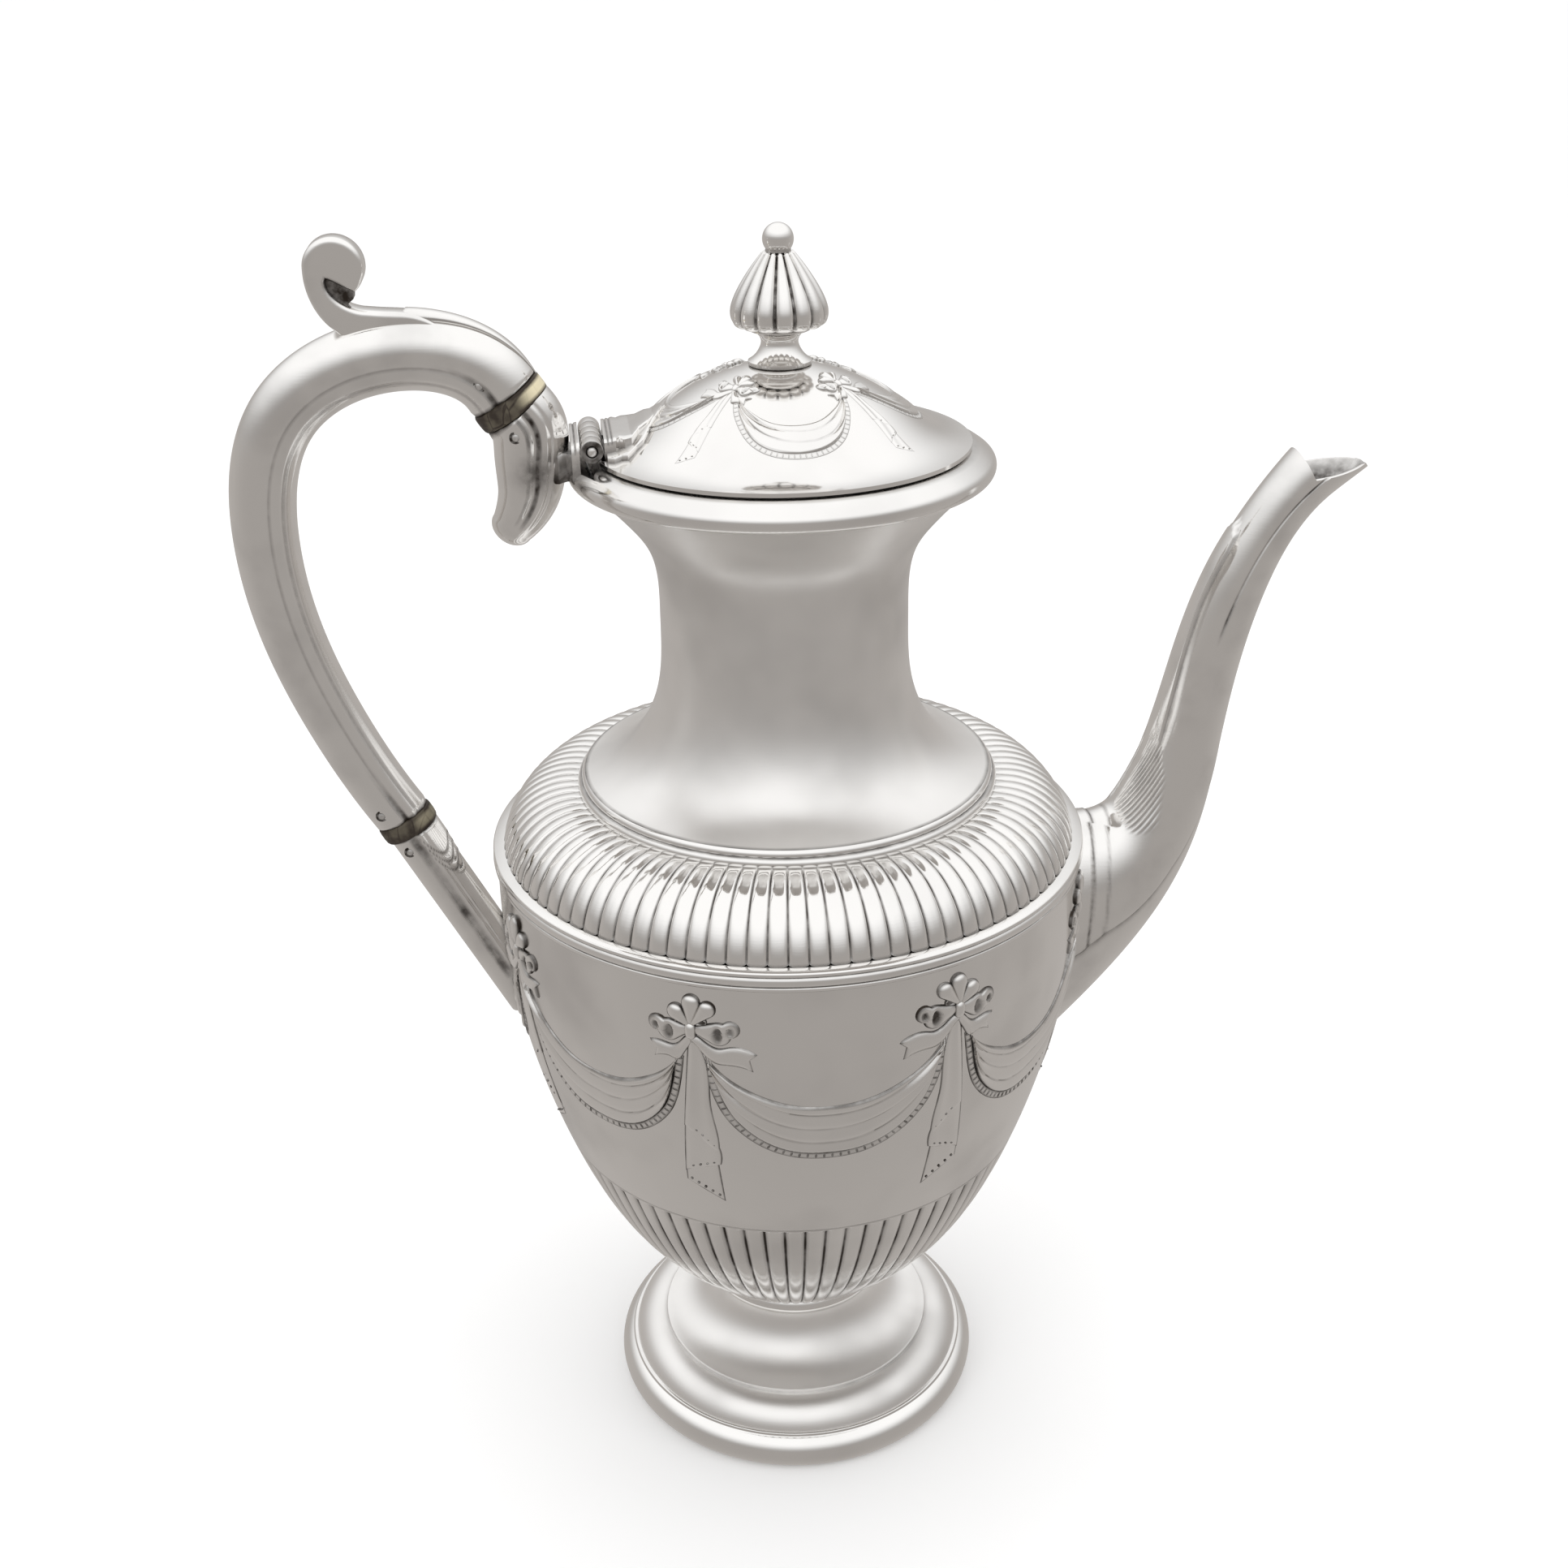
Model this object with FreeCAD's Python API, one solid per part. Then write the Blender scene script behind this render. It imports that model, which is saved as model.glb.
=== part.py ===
import FreeCAD, Part
import math
import os

# A silver coffee pot on a round foot: an urn-shaped body, a flared neck with a hinged lid,
# a swan-neck spout and a hollow scroll handle held by two insulators.
# Millimetres. +Z is up, the foot stands on Z = 0 and the body is turned about Z.
# The spout points along +X and the handle along -X.

Vec = FreeCAD.Vector
UP = Vec(0, 0, 1)
ACROSS = Vec(0, 1, 0)
ORIGIN = Vec(0, 0, 0)

# Sections along the tubes, and arcs round each oval section
oval_arcs = 8
grip_stations = 14
socket_stations = 7

# Sheet, walls and fits
sheet = 0.9
tube_wall = 1.0
lid_gap = 0.3
bezel_clearance = 0.7
stud_clearance = 0.05
tenon_clearance = 0.1
peg_clearance = 0.03
pin_clearance = 0.05
knuckle_gap = 0.15
knuckle_sweep = 0.35

# Foot
foot_rim_radius = 40.8
foot_rim_bulge = 1.8
foot_rim_height = 8.0
foot_rim_width = 2.2
foot_ovolo_inset = 3.5
foot_ovolo_height = 4.4
foot_step_radius = 30.2
foot_step_width = 1.6
foot_step_height = 0.8
stem_radius = 18.0
stem_rise = 10.8
knop_proud = 1.8
knop_height = 5.0
knop_wall = 1.6

# Body bowl: its top radius, how far it draws in below that, and heights above its floor
bowl_top_radius = 59.5
bowl_height = 105.0
bowl_high_inset = 1.6
bowl_high_height = 75.0
bowl_mid_inset = 9.5
bowl_mid_height = 43.5
bowl_low_inset = 22.3
bowl_low_height = 17.0
bowl_floor_radius = 20.0

# Girdle, shoulder and neck: each rise is above the point before it
girdle_proud = 0.8
girdle_height = 4.2
girdle_ledge_proud = 0.6
shoulder_inset = 1.5
shoulder_height = 11.6
collar_radius = 42.2
collar_width = 1.45
collar_height = 2.9
neck_flare_radius = 31.2
neck_flare_rise = 5.1
neck_low_radius = 25.4
neck_low_rise = 11.2
neck_waist_radius = 24.2
neck_waist_rise = 15.5
neck_high_radius = 26.0
neck_high_rise = 14.4
neck_lip_radius = 30.4
neck_lip_rise = 6.2
neck_top_inset = 3.0
neck_top_rise = 6.9

# Rim of the mouth
rim_radius = 40.3
rim_bulge_height = 2.1
rim_height = 5.2
rim_foot_width = 1.0
rim_slope_height = 1.5
ledge_inset = 4.1
ledge_width = 2.2

# Lid: radii, and heights above its flat underside
lid_inset = 0.5
lid_edge = 0.9
lid_seat_width = 4.2
lid_flare_radius = 29.5
lid_flare_height = 2.4
lid_bend_radius = 24.0
lid_bend_height = 6.3
lid_crown_radius = 14.5
lid_crown_height = 12.1
lid_top_radius = 6.0
lid_height = 14.9
bezel_wall = 0.9
bezel_depth = 4.0

# Finial
finial_base_radius = 5.9
finial_base_height = 1.2
finial_waist_radius = 3.45
finial_waist_height = 4.5
finial_ring_radius = 5.85
finial_stem_height = 7.2
cap_radius = 9.0
cap_widest_height = 2.0
cap_shoulder_radius = 6.6
cap_shoulder_height = 8.4
cap_top_radius = 3.2
cap_height = 13.1
ball_radius = 2.85
ball_neck_radius = 2.3
ball_neck_height = 0.5
stud_radius = 1.5
stud_engagement = 9.0
nut_across_flats = 7.0
nut_sides = 6
nut_height = 2.4
nut_thread_below = 1.2

# Lid hinge
hinge_inset = 0.1
hinge_lift = 2.6
barrel_radius = 2.1
barrel_length = 18.5
knuckle_count = 5
hinge_pin_radius = 1.0
hinge_pin_proud = 0.3
back_plate_reach = 3.8
back_plate_rise = 1.6
back_plate_overlap = 1.2
hinge_arm_width = 9.0
hinge_arm_reach = 10.0
hinge_arm_rise = -0.9
leaf_half_width = 8.8
leaf_rise = 1.9
leaf_length = 7.0
leaf_base_half_width = 12.0
leaf_base_thickness = 1.2
leaf_base_start = 3.0
leaf_tip_reach = 14.1
leaf_tip_half_width = 1.6
leaf_tip_rise = 5.7
leaf_waist_reach = 9.6
leaf_waist_half_width = 5.2

# Handle: offsets are from the rim's outer edge and the ledge that the lid rests on
insulator_thickness = 3.75
tenon_length = 7.0
joint_offset = 10.3
joint_rise = 12.1
joint_lean = 56.1
upper_run = 3.0
lower_run = 22.0
arch_offset = 29.5
arch_rise = 20.1
back_offset = 50.0
back_rise = 9.9
belly_offset = 55.9
belly_drop = 14.0
grip_upper_depth = 14.0
grip_belly_depth = 12.0
grip_lower_depth = 11.3
grip_width_ratio = 0.9
insulator_proud = 0.15
lower_entry_height = 79.0
lower_socket_length = 39.0
lower_socket_lean = 63.4
lower_socket_depth = 9.9
upper_pin_distance = 4.6
upper_pin_offset = 1.2
lower_pin_distance = 3.6
lower_pin_offset = 2.2
peg_radius = 1.05
peg_proud = 0.15

# Upper socket: drops below its joint with the insulator, and offsets towards the pot
socket_knee_drop = 8.4
socket_knee_offset = 1.9
socket_heel_drop = 16.2
socket_heel_offset = 0.9
socket_tip_drop = 21.6
socket_tip_offset = -4.4
socket_upper_depth = 14.0
socket_knee_depth = 13.6
socket_heel_depth = 10.4
socket_tip_depth = 5.2

# Thumb scroll on the arch of the handle
scroll_radius = 5.3
scroll_width = 6.0
scroll_rise = 15.7
scroll_setback = 8.4
scroll_sink = 4.2
scroll_bow = 1.6
crest_start_offset = 3.4
crest_start_drop = 5.6
crest_end_offset = 16.2
crest_end_drop = 8.1
leaf_tail_length = 27.0
leaf_tail_width = 6.0
leaf_tail_thickness = 2.2

# Spout: its root is placed from the bowl's top edge, and each later section by its run and climb from
# the one before it; rises are in degrees
spout_root_sink = 12.0
spout_root_drop = 29.4
spout_root_rise = 0.0
spout_root_depth = 61.4
spout_root_width = 28.0
spout_flare_run = 14.0
spout_flare_climb = 7.9
spout_flare_rise = 2.0
spout_flare_depth = 44.0
spout_flare_width = 26.0
spout_throat_run = 12.2
spout_throat_climb = 11.6
spout_throat_rise = 23.0
spout_throat_depth = 26.8
spout_throat_width = 21.6
spout_bend_run = 5.6
spout_bend_climb = 11.4
spout_bend_rise = 52.0
spout_bend_depth = 19.6
spout_bend_width = 17.4
spout_low_run = 4.3
spout_low_climb = 17.0
spout_low_rise = 76.0
spout_low_depth = 14.8
spout_low_width = 14.4
spout_high_run = 7.4
spout_high_climb = 31.5
spout_high_rise = 73.0
spout_high_depth = 12.6
spout_high_width = 12.4
spout_beak_run = 11.3
spout_beak_climb = 20.0
spout_beak_rise = 59.0
spout_beak_depth = 11.6
spout_beak_width = 12.4
spout_tip_run = 8.9
spout_tip_climb = 8.0
spout_tip_rise = 46.0
spout_tip_depth = 13.9
spout_tip_width = 15.5
lip_setback = 1.4
lip_climb = 7.7
notch_run = 1.0
notch_climb = 2.6
beak_end_run = 5.7
beak_end_drop = 3.4
root_strip_thickness = 1.0
root_strip_width = 3.2
root_strip_length = 31.0
strainer_hole_radius = 1.5
strainer_pitch = 5.5
strainer_columns = 3
strainer_rows = 5

# Heights of the joints between the pieces of the body
foot_top = foot_rim_height + foot_ovolo_height + foot_step_height + stem_rise
bowl_floor = foot_top + knop_height
bowl_top = bowl_floor + bowl_height
girdle_top = bowl_top + girdle_height
shoulder_top = girdle_top + shoulder_height
collar_base = shoulder_top - sheet
neck_base = shoulder_top + collar_height
neck_flare = neck_base + neck_flare_rise
neck_low = neck_flare + neck_low_rise
neck_waist = neck_low + neck_waist_rise
neck_high = neck_waist + neck_high_rise
neck_lip = neck_high + neck_lip_rise
neck_top = neck_lip + neck_top_rise
ledge = neck_top + rim_height
lid_base = ledge + lid_gap
lid_top = lid_base + lid_height
finial_ring = lid_top + finial_stem_height
cap_top = finial_ring + cap_height
stud_top = finial_ring + stud_engagement
far = 4 * bowl_height

# Radii that follow the bowl and the rim
girdle_radius = bowl_top_radius + girdle_proud
girdle_ledge_radius = bowl_top_radius + girdle_ledge_proud
shoulder_radius = bowl_top_radius - shoulder_inset
neck_top_radius = rim_radius - neck_top_inset
ledge_radius = rim_radius - ledge_inset
mouth_radius = ledge_radius - ledge_width
lid_radius = ledge_radius - lid_inset


def at(radius, height):
    """A point of a profile in the XZ plane."""
    return Vec(radius, 0, height)


def line(start, end):
    """A straight edge."""
    return Part.LineSegment(start, end).toShape()


def rounded(start, end):
    """A quarter-round edge that leaves start upright and reaches end level, bulging outwards."""
    bend = math.sqrt(0.5)
    middle = at(end.x + (start.x - end.x) * bend, start.z + (end.z - start.z) * bend)
    return Part.Arc(start, middle, end).toShape()


def hollowed(start, end):
    """A quarter-hollow edge that leaves start level and reaches end upright."""
    bend = 1 - math.sqrt(0.5)
    middle = at(end.x + (start.x - end.x) * bend, start.z + (end.z - start.z) * bend)
    return Part.Arc(start, middle, end).toShape()


def smooth_curve(points):
    """A smooth curve through points."""
    curve = Part.BSplineCurve()
    curve.interpolate(points)
    return curve


def turned(edges):
    """The solid that a closed run of edges sweeps when it is turned about Z."""
    outline = Part.Wire(edges)
    return Part.Face(outline).revolve(ORIGIN, UP, 360)


def moved_inwards(points, wall):
    """Points one wall inside a profile that is listed from its lowest point upwards."""
    curve = smooth_curve(points)
    inner = []
    for point in points:
        along = curve.tangent(curve.parameter(point))[0]
        inner.append(point + Vec(-along.z, 0, along.x) * wall)
    return inner


def turned_shell(outer, inner):
    """A turned wall between two profiles that run the same way."""
    edges = [
        smooth_curve(outer).toShape(),
        line(outer[-1], inner[-1]),
        smooth_curve(inner[::-1]).toShape(),
        line(inner[0], outer[0]),
    ]
    return turned(edges)


def filled_below(profile):
    """The solid between a turned profile, the axis and the levels of its two ends."""
    edges = [
        line(at(0, profile[0].z), profile[0]),
        smooth_curve(profile).toShape(),
        line(profile[-1], at(0, profile[-1].z)),
        line(at(0, profile[-1].z), at(0, profile[0].z)),
    ]
    return turned(edges)


def upright_cylinder(radius, bottom, top):
    """A cylinder on the pot's axis."""
    return Part.makeCylinder(radius, top - bottom, at(0, bottom))


def cross_cylinder(radius, centre, half_length):
    """A cylinder along Y, centred on a point of the XZ plane."""
    return Part.makeCylinder(radius, 2 * half_length, centre - ACROSS * half_length, ACROSS)


def block(low_x, high_x, half_width, low_z, high_z):
    """A box centred on the XZ plane."""
    corner = Vec(low_x, -half_width, low_z)
    return Part.makeBox(high_x - low_x, 2 * half_width, high_z - low_z, corner)


def side_prism(corners, half_width):
    """A flat outline in the XZ plane, given its width along Y."""
    outline = Part.makePolygon(corners + corners[:1])
    face = Part.Face(outline)
    face.translate(ACROSS * -half_width)
    return face.extrude(ACROSS * (2 * half_width))


def plan_prism(half_outline, low_z, high_z):
    """An upright prism whose plan mirrors half_outline, pairs of x and half width, about X."""
    near = [Vec(x, -half_width, low_z) for x, half_width in half_outline]
    away = [Vec(x, half_width, low_z) for x, half_width in reversed(half_outline)]
    corners = near + away
    outline = Part.makePolygon(corners + corners[:1])
    return Part.Face(outline).extrude(UP * (high_z - low_z))


def oval(centre, along, depth, width):
    """An oval wire across a path in the XZ plane: depth lies in that plane, width along Y."""
    inward = Vec(-along.z, 0, along.x)

    def around(step):
        angle = 2 * math.pi * (step % oval_arcs) / oval_arcs
        return centre + inward * (depth / 2 * math.cos(angle)) + ACROSS * (width / 2 * math.sin(angle))

    arcs = [Part.Arc(around(step), around(step + 0.5), around(step + 1)) for step in range(oval_arcs)]
    return Part.Wire([arc.toShape() for arc in arcs])


def tube(curve, stations, size_at, first=None, last=None):
    """A smooth solid along curve: size_at gives its depth and width, first and last face its ends."""
    wires = []
    for index in range(stations):
        length = curve.length() * index / (stations - 1)
        here = curve.parameterAtDistance(length, curve.FirstParameter)
        along = curve.tangent(here)[0]
        if index == 0 and first:
            along = first
        if index == stations - 1 and last:
            along = last
        depth, width = size_at(length)
        wires.append(oval(curve.value(here), along, depth, width))
    return Part.makeLoft(wires, True)


def thinned(size_at, wall):
    """The sizes that lie one wall inside those of size_at."""
    def size(length):
        depth, width = size_at(length)
        return depth - 2 * wall, width - 2 * wall
    return size


def heading(lean, towards_pot):
    """A direction in the XZ plane that falls lean degrees below level."""
    angle = math.radians(lean)
    return Vec(towards_pot * math.cos(angle), 0, -math.sin(angle))


def straight_path(start, end):
    """A straight curve from start to end, measured from start."""
    path = Part.BSplineCurve()
    path.interpolate([start, end])
    return path


# Foot: a half-round rim, the raised dish and the knop that carries the bowl
foot_rest_radius = foot_rim_radius - foot_rim_bulge
foot_ovolo_radius = foot_rim_radius - foot_ovolo_inset
rim_seat_radius = foot_ovolo_radius - foot_rim_width
foot_rim_widest = foot_rim_height / 2
foot_rim_top_radius = foot_rest_radius - sheet
foot_rim = turned([
    line(at(rim_seat_radius, 0), at(foot_rest_radius, 0)),
    Part.Arc(
        at(foot_rest_radius, 0),
        at(foot_rim_radius, foot_rim_widest),
        at(foot_rim_top_radius, foot_rim_height),
    ).toShape(),
    line(at(foot_rim_top_radius, foot_rim_height), at(rim_seat_radius, foot_rim_height)),
    line(at(rim_seat_radius, foot_rim_height), at(rim_seat_radius, 0)),
])

dish_start = at(foot_ovolo_radius, foot_rim_height)
ovolo_end = at(foot_step_radius, foot_rim_height + foot_ovolo_height)
step_top = at(foot_step_radius, ovolo_end.z + foot_step_height)
trumpet_start = at(foot_step_radius - foot_step_width, step_top.z)
trumpet_end = at(stem_radius, foot_top)
inner_start = at(foot_ovolo_radius - sheet, foot_rim_height)
inner_ovolo_end = at(trumpet_start.x - sheet, ovolo_end.z - sheet)
inner_trumpet_end = at(stem_radius - sheet, foot_top)
foot = turned([
    rounded(dish_start, ovolo_end),
    line(ovolo_end, step_top),
    line(step_top, trumpet_start),
    hollowed(trumpet_start, trumpet_end),
    line(trumpet_end, inner_trumpet_end),
    hollowed(inner_ovolo_end, inner_trumpet_end),
    rounded(inner_start, inner_ovolo_end),
    line(inner_start, dish_start),
])

knop_bore = stem_radius - knop_wall
knop = turned([
    line(at(knop_bore, foot_top), at(stem_radius, foot_top)),
    Part.Arc(
        at(stem_radius, foot_top),
        at(stem_radius + knop_proud, foot_top + knop_height / 2),
        at(stem_radius, bowl_floor),
    ).toShape(),
    line(at(stem_radius, bowl_floor), at(knop_bore, bowl_floor)),
    line(at(knop_bore, bowl_floor), at(knop_bore, foot_top)),
])

# Bowl: a closed floor and one raised wall, pierced behind the spout
bowl_profile = [
    at(bowl_floor_radius, bowl_floor),
    at(bowl_top_radius - bowl_low_inset, bowl_floor + bowl_low_height),
    at(bowl_top_radius - bowl_mid_inset, bowl_floor + bowl_mid_height),
    at(bowl_top_radius - bowl_high_inset, bowl_floor + bowl_high_height),
    at(bowl_top_radius, bowl_top),
]
bowl_inner = moved_inwards(bowl_profile, sheet)
bowl_inner[0] = at(bowl_floor_radius - sheet, bowl_floor + sheet)
bowl_inner[-1] = at(bowl_top_radius - sheet, bowl_top)
bowl_form = filled_below(bowl_profile)
bowl = bowl_form.cut(filled_below(bowl_inner))


def bowl_radius_at(height):
    """The bowl's outer radius at a height above the table."""
    level = Part.LineSegment(at(0, height), at(far, height))
    meeting = smooth_curve(bowl_profile).intersect(level)[0]
    return meeting.X


strainer_holes = []
for row in range(strainer_rows):
    for column in range(strainer_columns):
        shift = (column - (strainer_columns - 1) / 2) * strainer_pitch
        drop = (row - (strainer_rows - 1) / 2) * strainer_pitch
        mouth = Vec(bowl_floor_radius, shift, bowl_top - spout_root_drop + drop)
        strainer_holes.append(Part.makeCylinder(strainer_hole_radius, bowl_top_radius, mouth, Vec(1, 0, 0)))
bowl = bowl.cut(Part.makeCompound(strainer_holes))

# Girdle ring, fluted shoulder and the collar at the foot of the neck
shoulder_bore = shoulder_radius - sheet
girdle = turned([
    line(at(shoulder_bore, bowl_top), at(bowl_top_radius, bowl_top)),
    Part.Arc(
        at(bowl_top_radius, bowl_top),
        at(girdle_radius, bowl_top + girdle_height / 2),
        at(girdle_ledge_radius, girdle_top),
    ).toShape(),
    line(at(girdle_ledge_radius, girdle_top), at(shoulder_bore, girdle_top)),
    line(at(shoulder_bore, girdle_top), at(shoulder_bore, bowl_top)),
])

shoulder = turned([
    rounded(at(shoulder_radius, girdle_top), at(collar_radius, shoulder_top)),
    line(at(collar_radius, shoulder_top), at(collar_radius, collar_base)),
    rounded(at(shoulder_bore, girdle_top), at(collar_radius, collar_base)),
    line(at(shoulder_bore, girdle_top), at(shoulder_radius, girdle_top)),
])
shoulder_form = turned([
    rounded(at(shoulder_radius, girdle_top), at(collar_radius, shoulder_top)),
    line(at(collar_radius, shoulder_top), at(0, shoulder_top)),
    line(at(0, shoulder_top), at(0, girdle_top)),
    line(at(0, girdle_top), at(shoulder_radius, girdle_top)),
])

neck_base_radius = collar_radius - collar_width
collar = turned([
    line(at(neck_base_radius, collar_base), at(collar_radius, collar_base)),
    line(at(collar_radius, collar_base), at(collar_radius, shoulder_top)),
    rounded(at(collar_radius, shoulder_top), at(neck_base_radius, neck_base)),
    line(at(neck_base_radius, neck_base), at(neck_base_radius, collar_base)),
])

# Neck and the moulded rim of the mouth
neck_profile = [
    at(neck_base_radius, neck_base),
    at(neck_flare_radius, neck_flare),
    at(neck_low_radius, neck_low),
    at(neck_waist_radius, neck_waist),
    at(neck_high_radius, neck_high),
    at(neck_lip_radius, neck_lip),
    at(neck_top_radius, neck_top),
]
neck_inner = moved_inwards(neck_profile, sheet)
neck_inner[0] = at(neck_base_radius, neck_base - sheet)
neck_inner[-1] = at(neck_top_radius - sheet, neck_top)
neck = turned_shell(neck_profile, neck_inner)

rim_slope_end = at(rim_radius - sheet, ledge - rim_slope_height)
rim_foot = at(neck_top_radius + rim_foot_width, neck_top)
rim = turned([
    line(at(mouth_radius, neck_top), rim_foot),
    Part.Arc(rim_foot, at(rim_radius, neck_top + rim_bulge_height), rim_slope_end).toShape(),
    line(rim_slope_end, at(ledge_radius, ledge)),
    line(at(ledge_radius, ledge), at(mouth_radius, ledge)),
    line(at(mouth_radius, ledge), at(mouth_radius, neck_top)),
])

# Lid: a raised ogee dome with a flat seat, and the bezel that drops into the mouth
lid_profile = [
    at(lid_radius, lid_base + lid_edge),
    at(lid_flare_radius, lid_base + lid_flare_height),
    at(lid_bend_radius, lid_base + lid_bend_height),
    at(lid_crown_radius, lid_base + lid_crown_height),
    at(lid_top_radius, lid_top),
]
lid_inner = moved_inwards(lid_profile, sheet)
lid_seat = at(lid_radius - lid_seat_width, lid_base)
lid_inner[0] = lid_seat
lid_inner[-1] = at(lid_top_radius, lid_top - sheet)
stud_hole = upright_cylinder(stud_radius + stud_clearance, lid_base, stud_top)
lid_form = turned([
    line(at(0, lid_base), at(lid_radius, lid_base)),
    line(at(lid_radius, lid_base), lid_profile[0]),
    smooth_curve(lid_profile).toShape(),
    line(lid_profile[-1], at(0, lid_top)),
    line(at(0, lid_top), at(0, lid_base)),
])
lid_hollow = turned([
    line(at(0, lid_base), lid_seat),
    smooth_curve(lid_inner).toShape(),
    line(lid_inner[-1], at(0, lid_top - sheet)),
    line(at(0, lid_top - sheet), at(0, lid_base)),
])

bezel_radius = mouth_radius - bezel_clearance
bezel_bottom = ledge - bezel_depth
lid_bezel = upright_cylinder(bezel_radius, bezel_bottom, lid_base)
lid_bezel = lid_bezel.cut(upright_cylinder(bezel_radius - bezel_wall, bezel_bottom, lid_base))

# Finial: stem, gadrooned cap and ball on one stud, held by a nut under the lid
finial_stem_profile = [
    at(finial_base_radius, lid_top + finial_base_height),
    at(finial_waist_radius, lid_top + finial_waist_height),
    at(finial_ring_radius, finial_ring - sheet),
]
finial_stem = turned([
    line(at(0, lid_top), at(finial_base_radius, lid_top)),
    line(at(finial_base_radius, lid_top), finial_stem_profile[0]),
    smooth_curve(finial_stem_profile).toShape(),
    line(finial_stem_profile[-1], at(finial_ring_radius, finial_ring)),
    line(at(finial_ring_radius, finial_ring), at(0, finial_ring)),
    line(at(0, finial_ring), at(0, lid_top)),
])
finial_stem = finial_stem.cut(stud_hole)

cap_profile = [
    at(finial_ring_radius, finial_ring),
    at(cap_radius, finial_ring + cap_widest_height),
    at(cap_shoulder_radius, finial_ring + cap_shoulder_height),
    at(cap_top_radius, cap_top),
]
finial_cap = filled_below(cap_profile).cut(stud_hole)

ball_middle = cap_top + ball_neck_height + math.sqrt(ball_radius ** 2 - ball_neck_radius ** 2)
finial_ball = upright_cylinder(ball_neck_radius, cap_top, ball_middle)
finial_ball = finial_ball.fuse(Part.makeSphere(ball_radius, at(0, ball_middle)))
finial_ball = finial_ball.cut(upright_cylinder(ball_radius, cap_top - ball_radius, cap_top))
finial_ball = finial_ball.removeSplitter()

nut_top = lid_top - sheet
nut_bottom = nut_top - nut_height
finial_stud = upright_cylinder(stud_radius, nut_bottom - nut_thread_below, stud_top)
nut_corner = nut_across_flats / 2 / math.cos(math.pi / nut_sides)
nut_corners = []
for corner in range(nut_sides):
    angle = 2 * math.pi * corner / nut_sides
    nut_corners.append(Vec(nut_corner * math.cos(angle), nut_corner * math.sin(angle), nut_bottom))
nut_outline = Part.makePolygon(nut_corners + nut_corners[:1])
finial_nut = Part.Face(nut_outline).extrude(UP * nut_height)
finial_nut = finial_nut.cut(upright_cylinder(stud_radius + stud_clearance, nut_bottom, nut_top))

# Handle: the paths of the grip and its two sockets
upper_heading = heading(joint_lean, 1)
lower_heading = heading(lower_socket_lean, 1)
upper_joint = at(-rim_radius - joint_offset, ledge + joint_rise)
socket_start = upper_joint + upper_heading * insulator_thickness
entry_height = bowl_floor + lower_entry_height
lower_entry = at(-bowl_radius_at(entry_height), entry_height)
lower_socket_start = lower_entry - lower_heading * lower_socket_length
lower_joint = lower_socket_start - lower_heading * insulator_thickness

arch_top = at(-rim_radius - arch_offset, ledge + arch_rise)
grip_path = smooth_curve([
    upper_joint,
    upper_joint - upper_heading * upper_run,
    arch_top,
    at(-rim_radius - back_offset, ledge + back_rise),
    at(-rim_radius - belly_offset, ledge - belly_drop),
    lower_joint - lower_heading * lower_run,
    lower_joint,
])
grip_length = grip_path.length()


def grip_size(length):
    """Depth and width of the grip: a smooth taper through its two ends and its belly."""
    share = length / grip_length
    depth = (
        grip_upper_depth * (1 - share) * (1 - 2 * share)
        + grip_belly_depth * 4 * share * (1 - share)
        + grip_lower_depth * share * (2 * share - 1)
    )
    return depth, depth * grip_width_ratio


socket_knee = socket_start + at(socket_knee_offset, -socket_knee_drop)
socket_heel = socket_start + at(socket_heel_offset, -socket_heel_drop)
socket_end = socket_start + at(socket_tip_offset, -socket_tip_drop)
socket_path = smooth_curve([
    socket_start,
    socket_start + upper_heading * upper_run,
    socket_knee,
    socket_heel,
    socket_end,
])
socket_length = socket_path.length()
knee_length = socket_path.length(socket_path.FirstParameter, socket_path.parameter(socket_knee))
heel_length = socket_path.length(socket_path.FirstParameter, socket_path.parameter(socket_heel))


def between(length, stops):
    """The value at a length, from pairs of length and value joined by straight lines."""
    for (low, first), (high, second) in zip(stops, stops[1:]):
        if length <= high:
            return first + (second - first) * (length - low) / (high - low)
    return stops[-1][1]


def upper_socket_size(length):
    """Depth and width of the upper socket, from the insulator down to its drop-shaped end."""
    stops = [
        (0, socket_upper_depth),
        (knee_length, socket_knee_depth),
        (heel_length, socket_heel_depth),
        (socket_length, socket_tip_depth),
    ]
    depth = between(length, stops)
    return depth, depth * grip_width_ratio


def lower_socket_size(length):
    """Depth and width of the straight lower socket."""
    return lower_socket_depth, lower_socket_depth * grip_width_ratio


def grip_tube(wall):
    """The grip's form, one wall inside its outer face."""
    size_at = thinned(grip_size, wall)
    return tube(grip_path, grip_stations, size_at, upper_heading * -1, lower_heading)


def upper_socket_tube(wall):
    """The upper socket's form, one wall inside its outer face."""
    return tube(socket_path, socket_stations, thinned(upper_socket_size, wall), upper_heading)


def lower_socket_tube(wall):
    """The lower socket's form, one wall inside its outer face."""
    return tube(lower_path, 2, thinned(lower_socket_size, wall))


lower_path = straight_path(lower_socket_start, lower_entry + lower_heading * lower_socket_depth)
grip_form = grip_tube(0)
socket_form = upper_socket_tube(0)
socket_form = socket_form.fuse(Part.makeSphere(socket_tip_depth * grip_width_ratio / 2, socket_end))
socket_mortise = upper_socket_tube(tube_wall).common(Part.makeSphere(tenon_length, socket_start))
tenon_wall = tube_wall + tenon_clearance
tenon_reach = tenon_length - tenon_clearance


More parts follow.
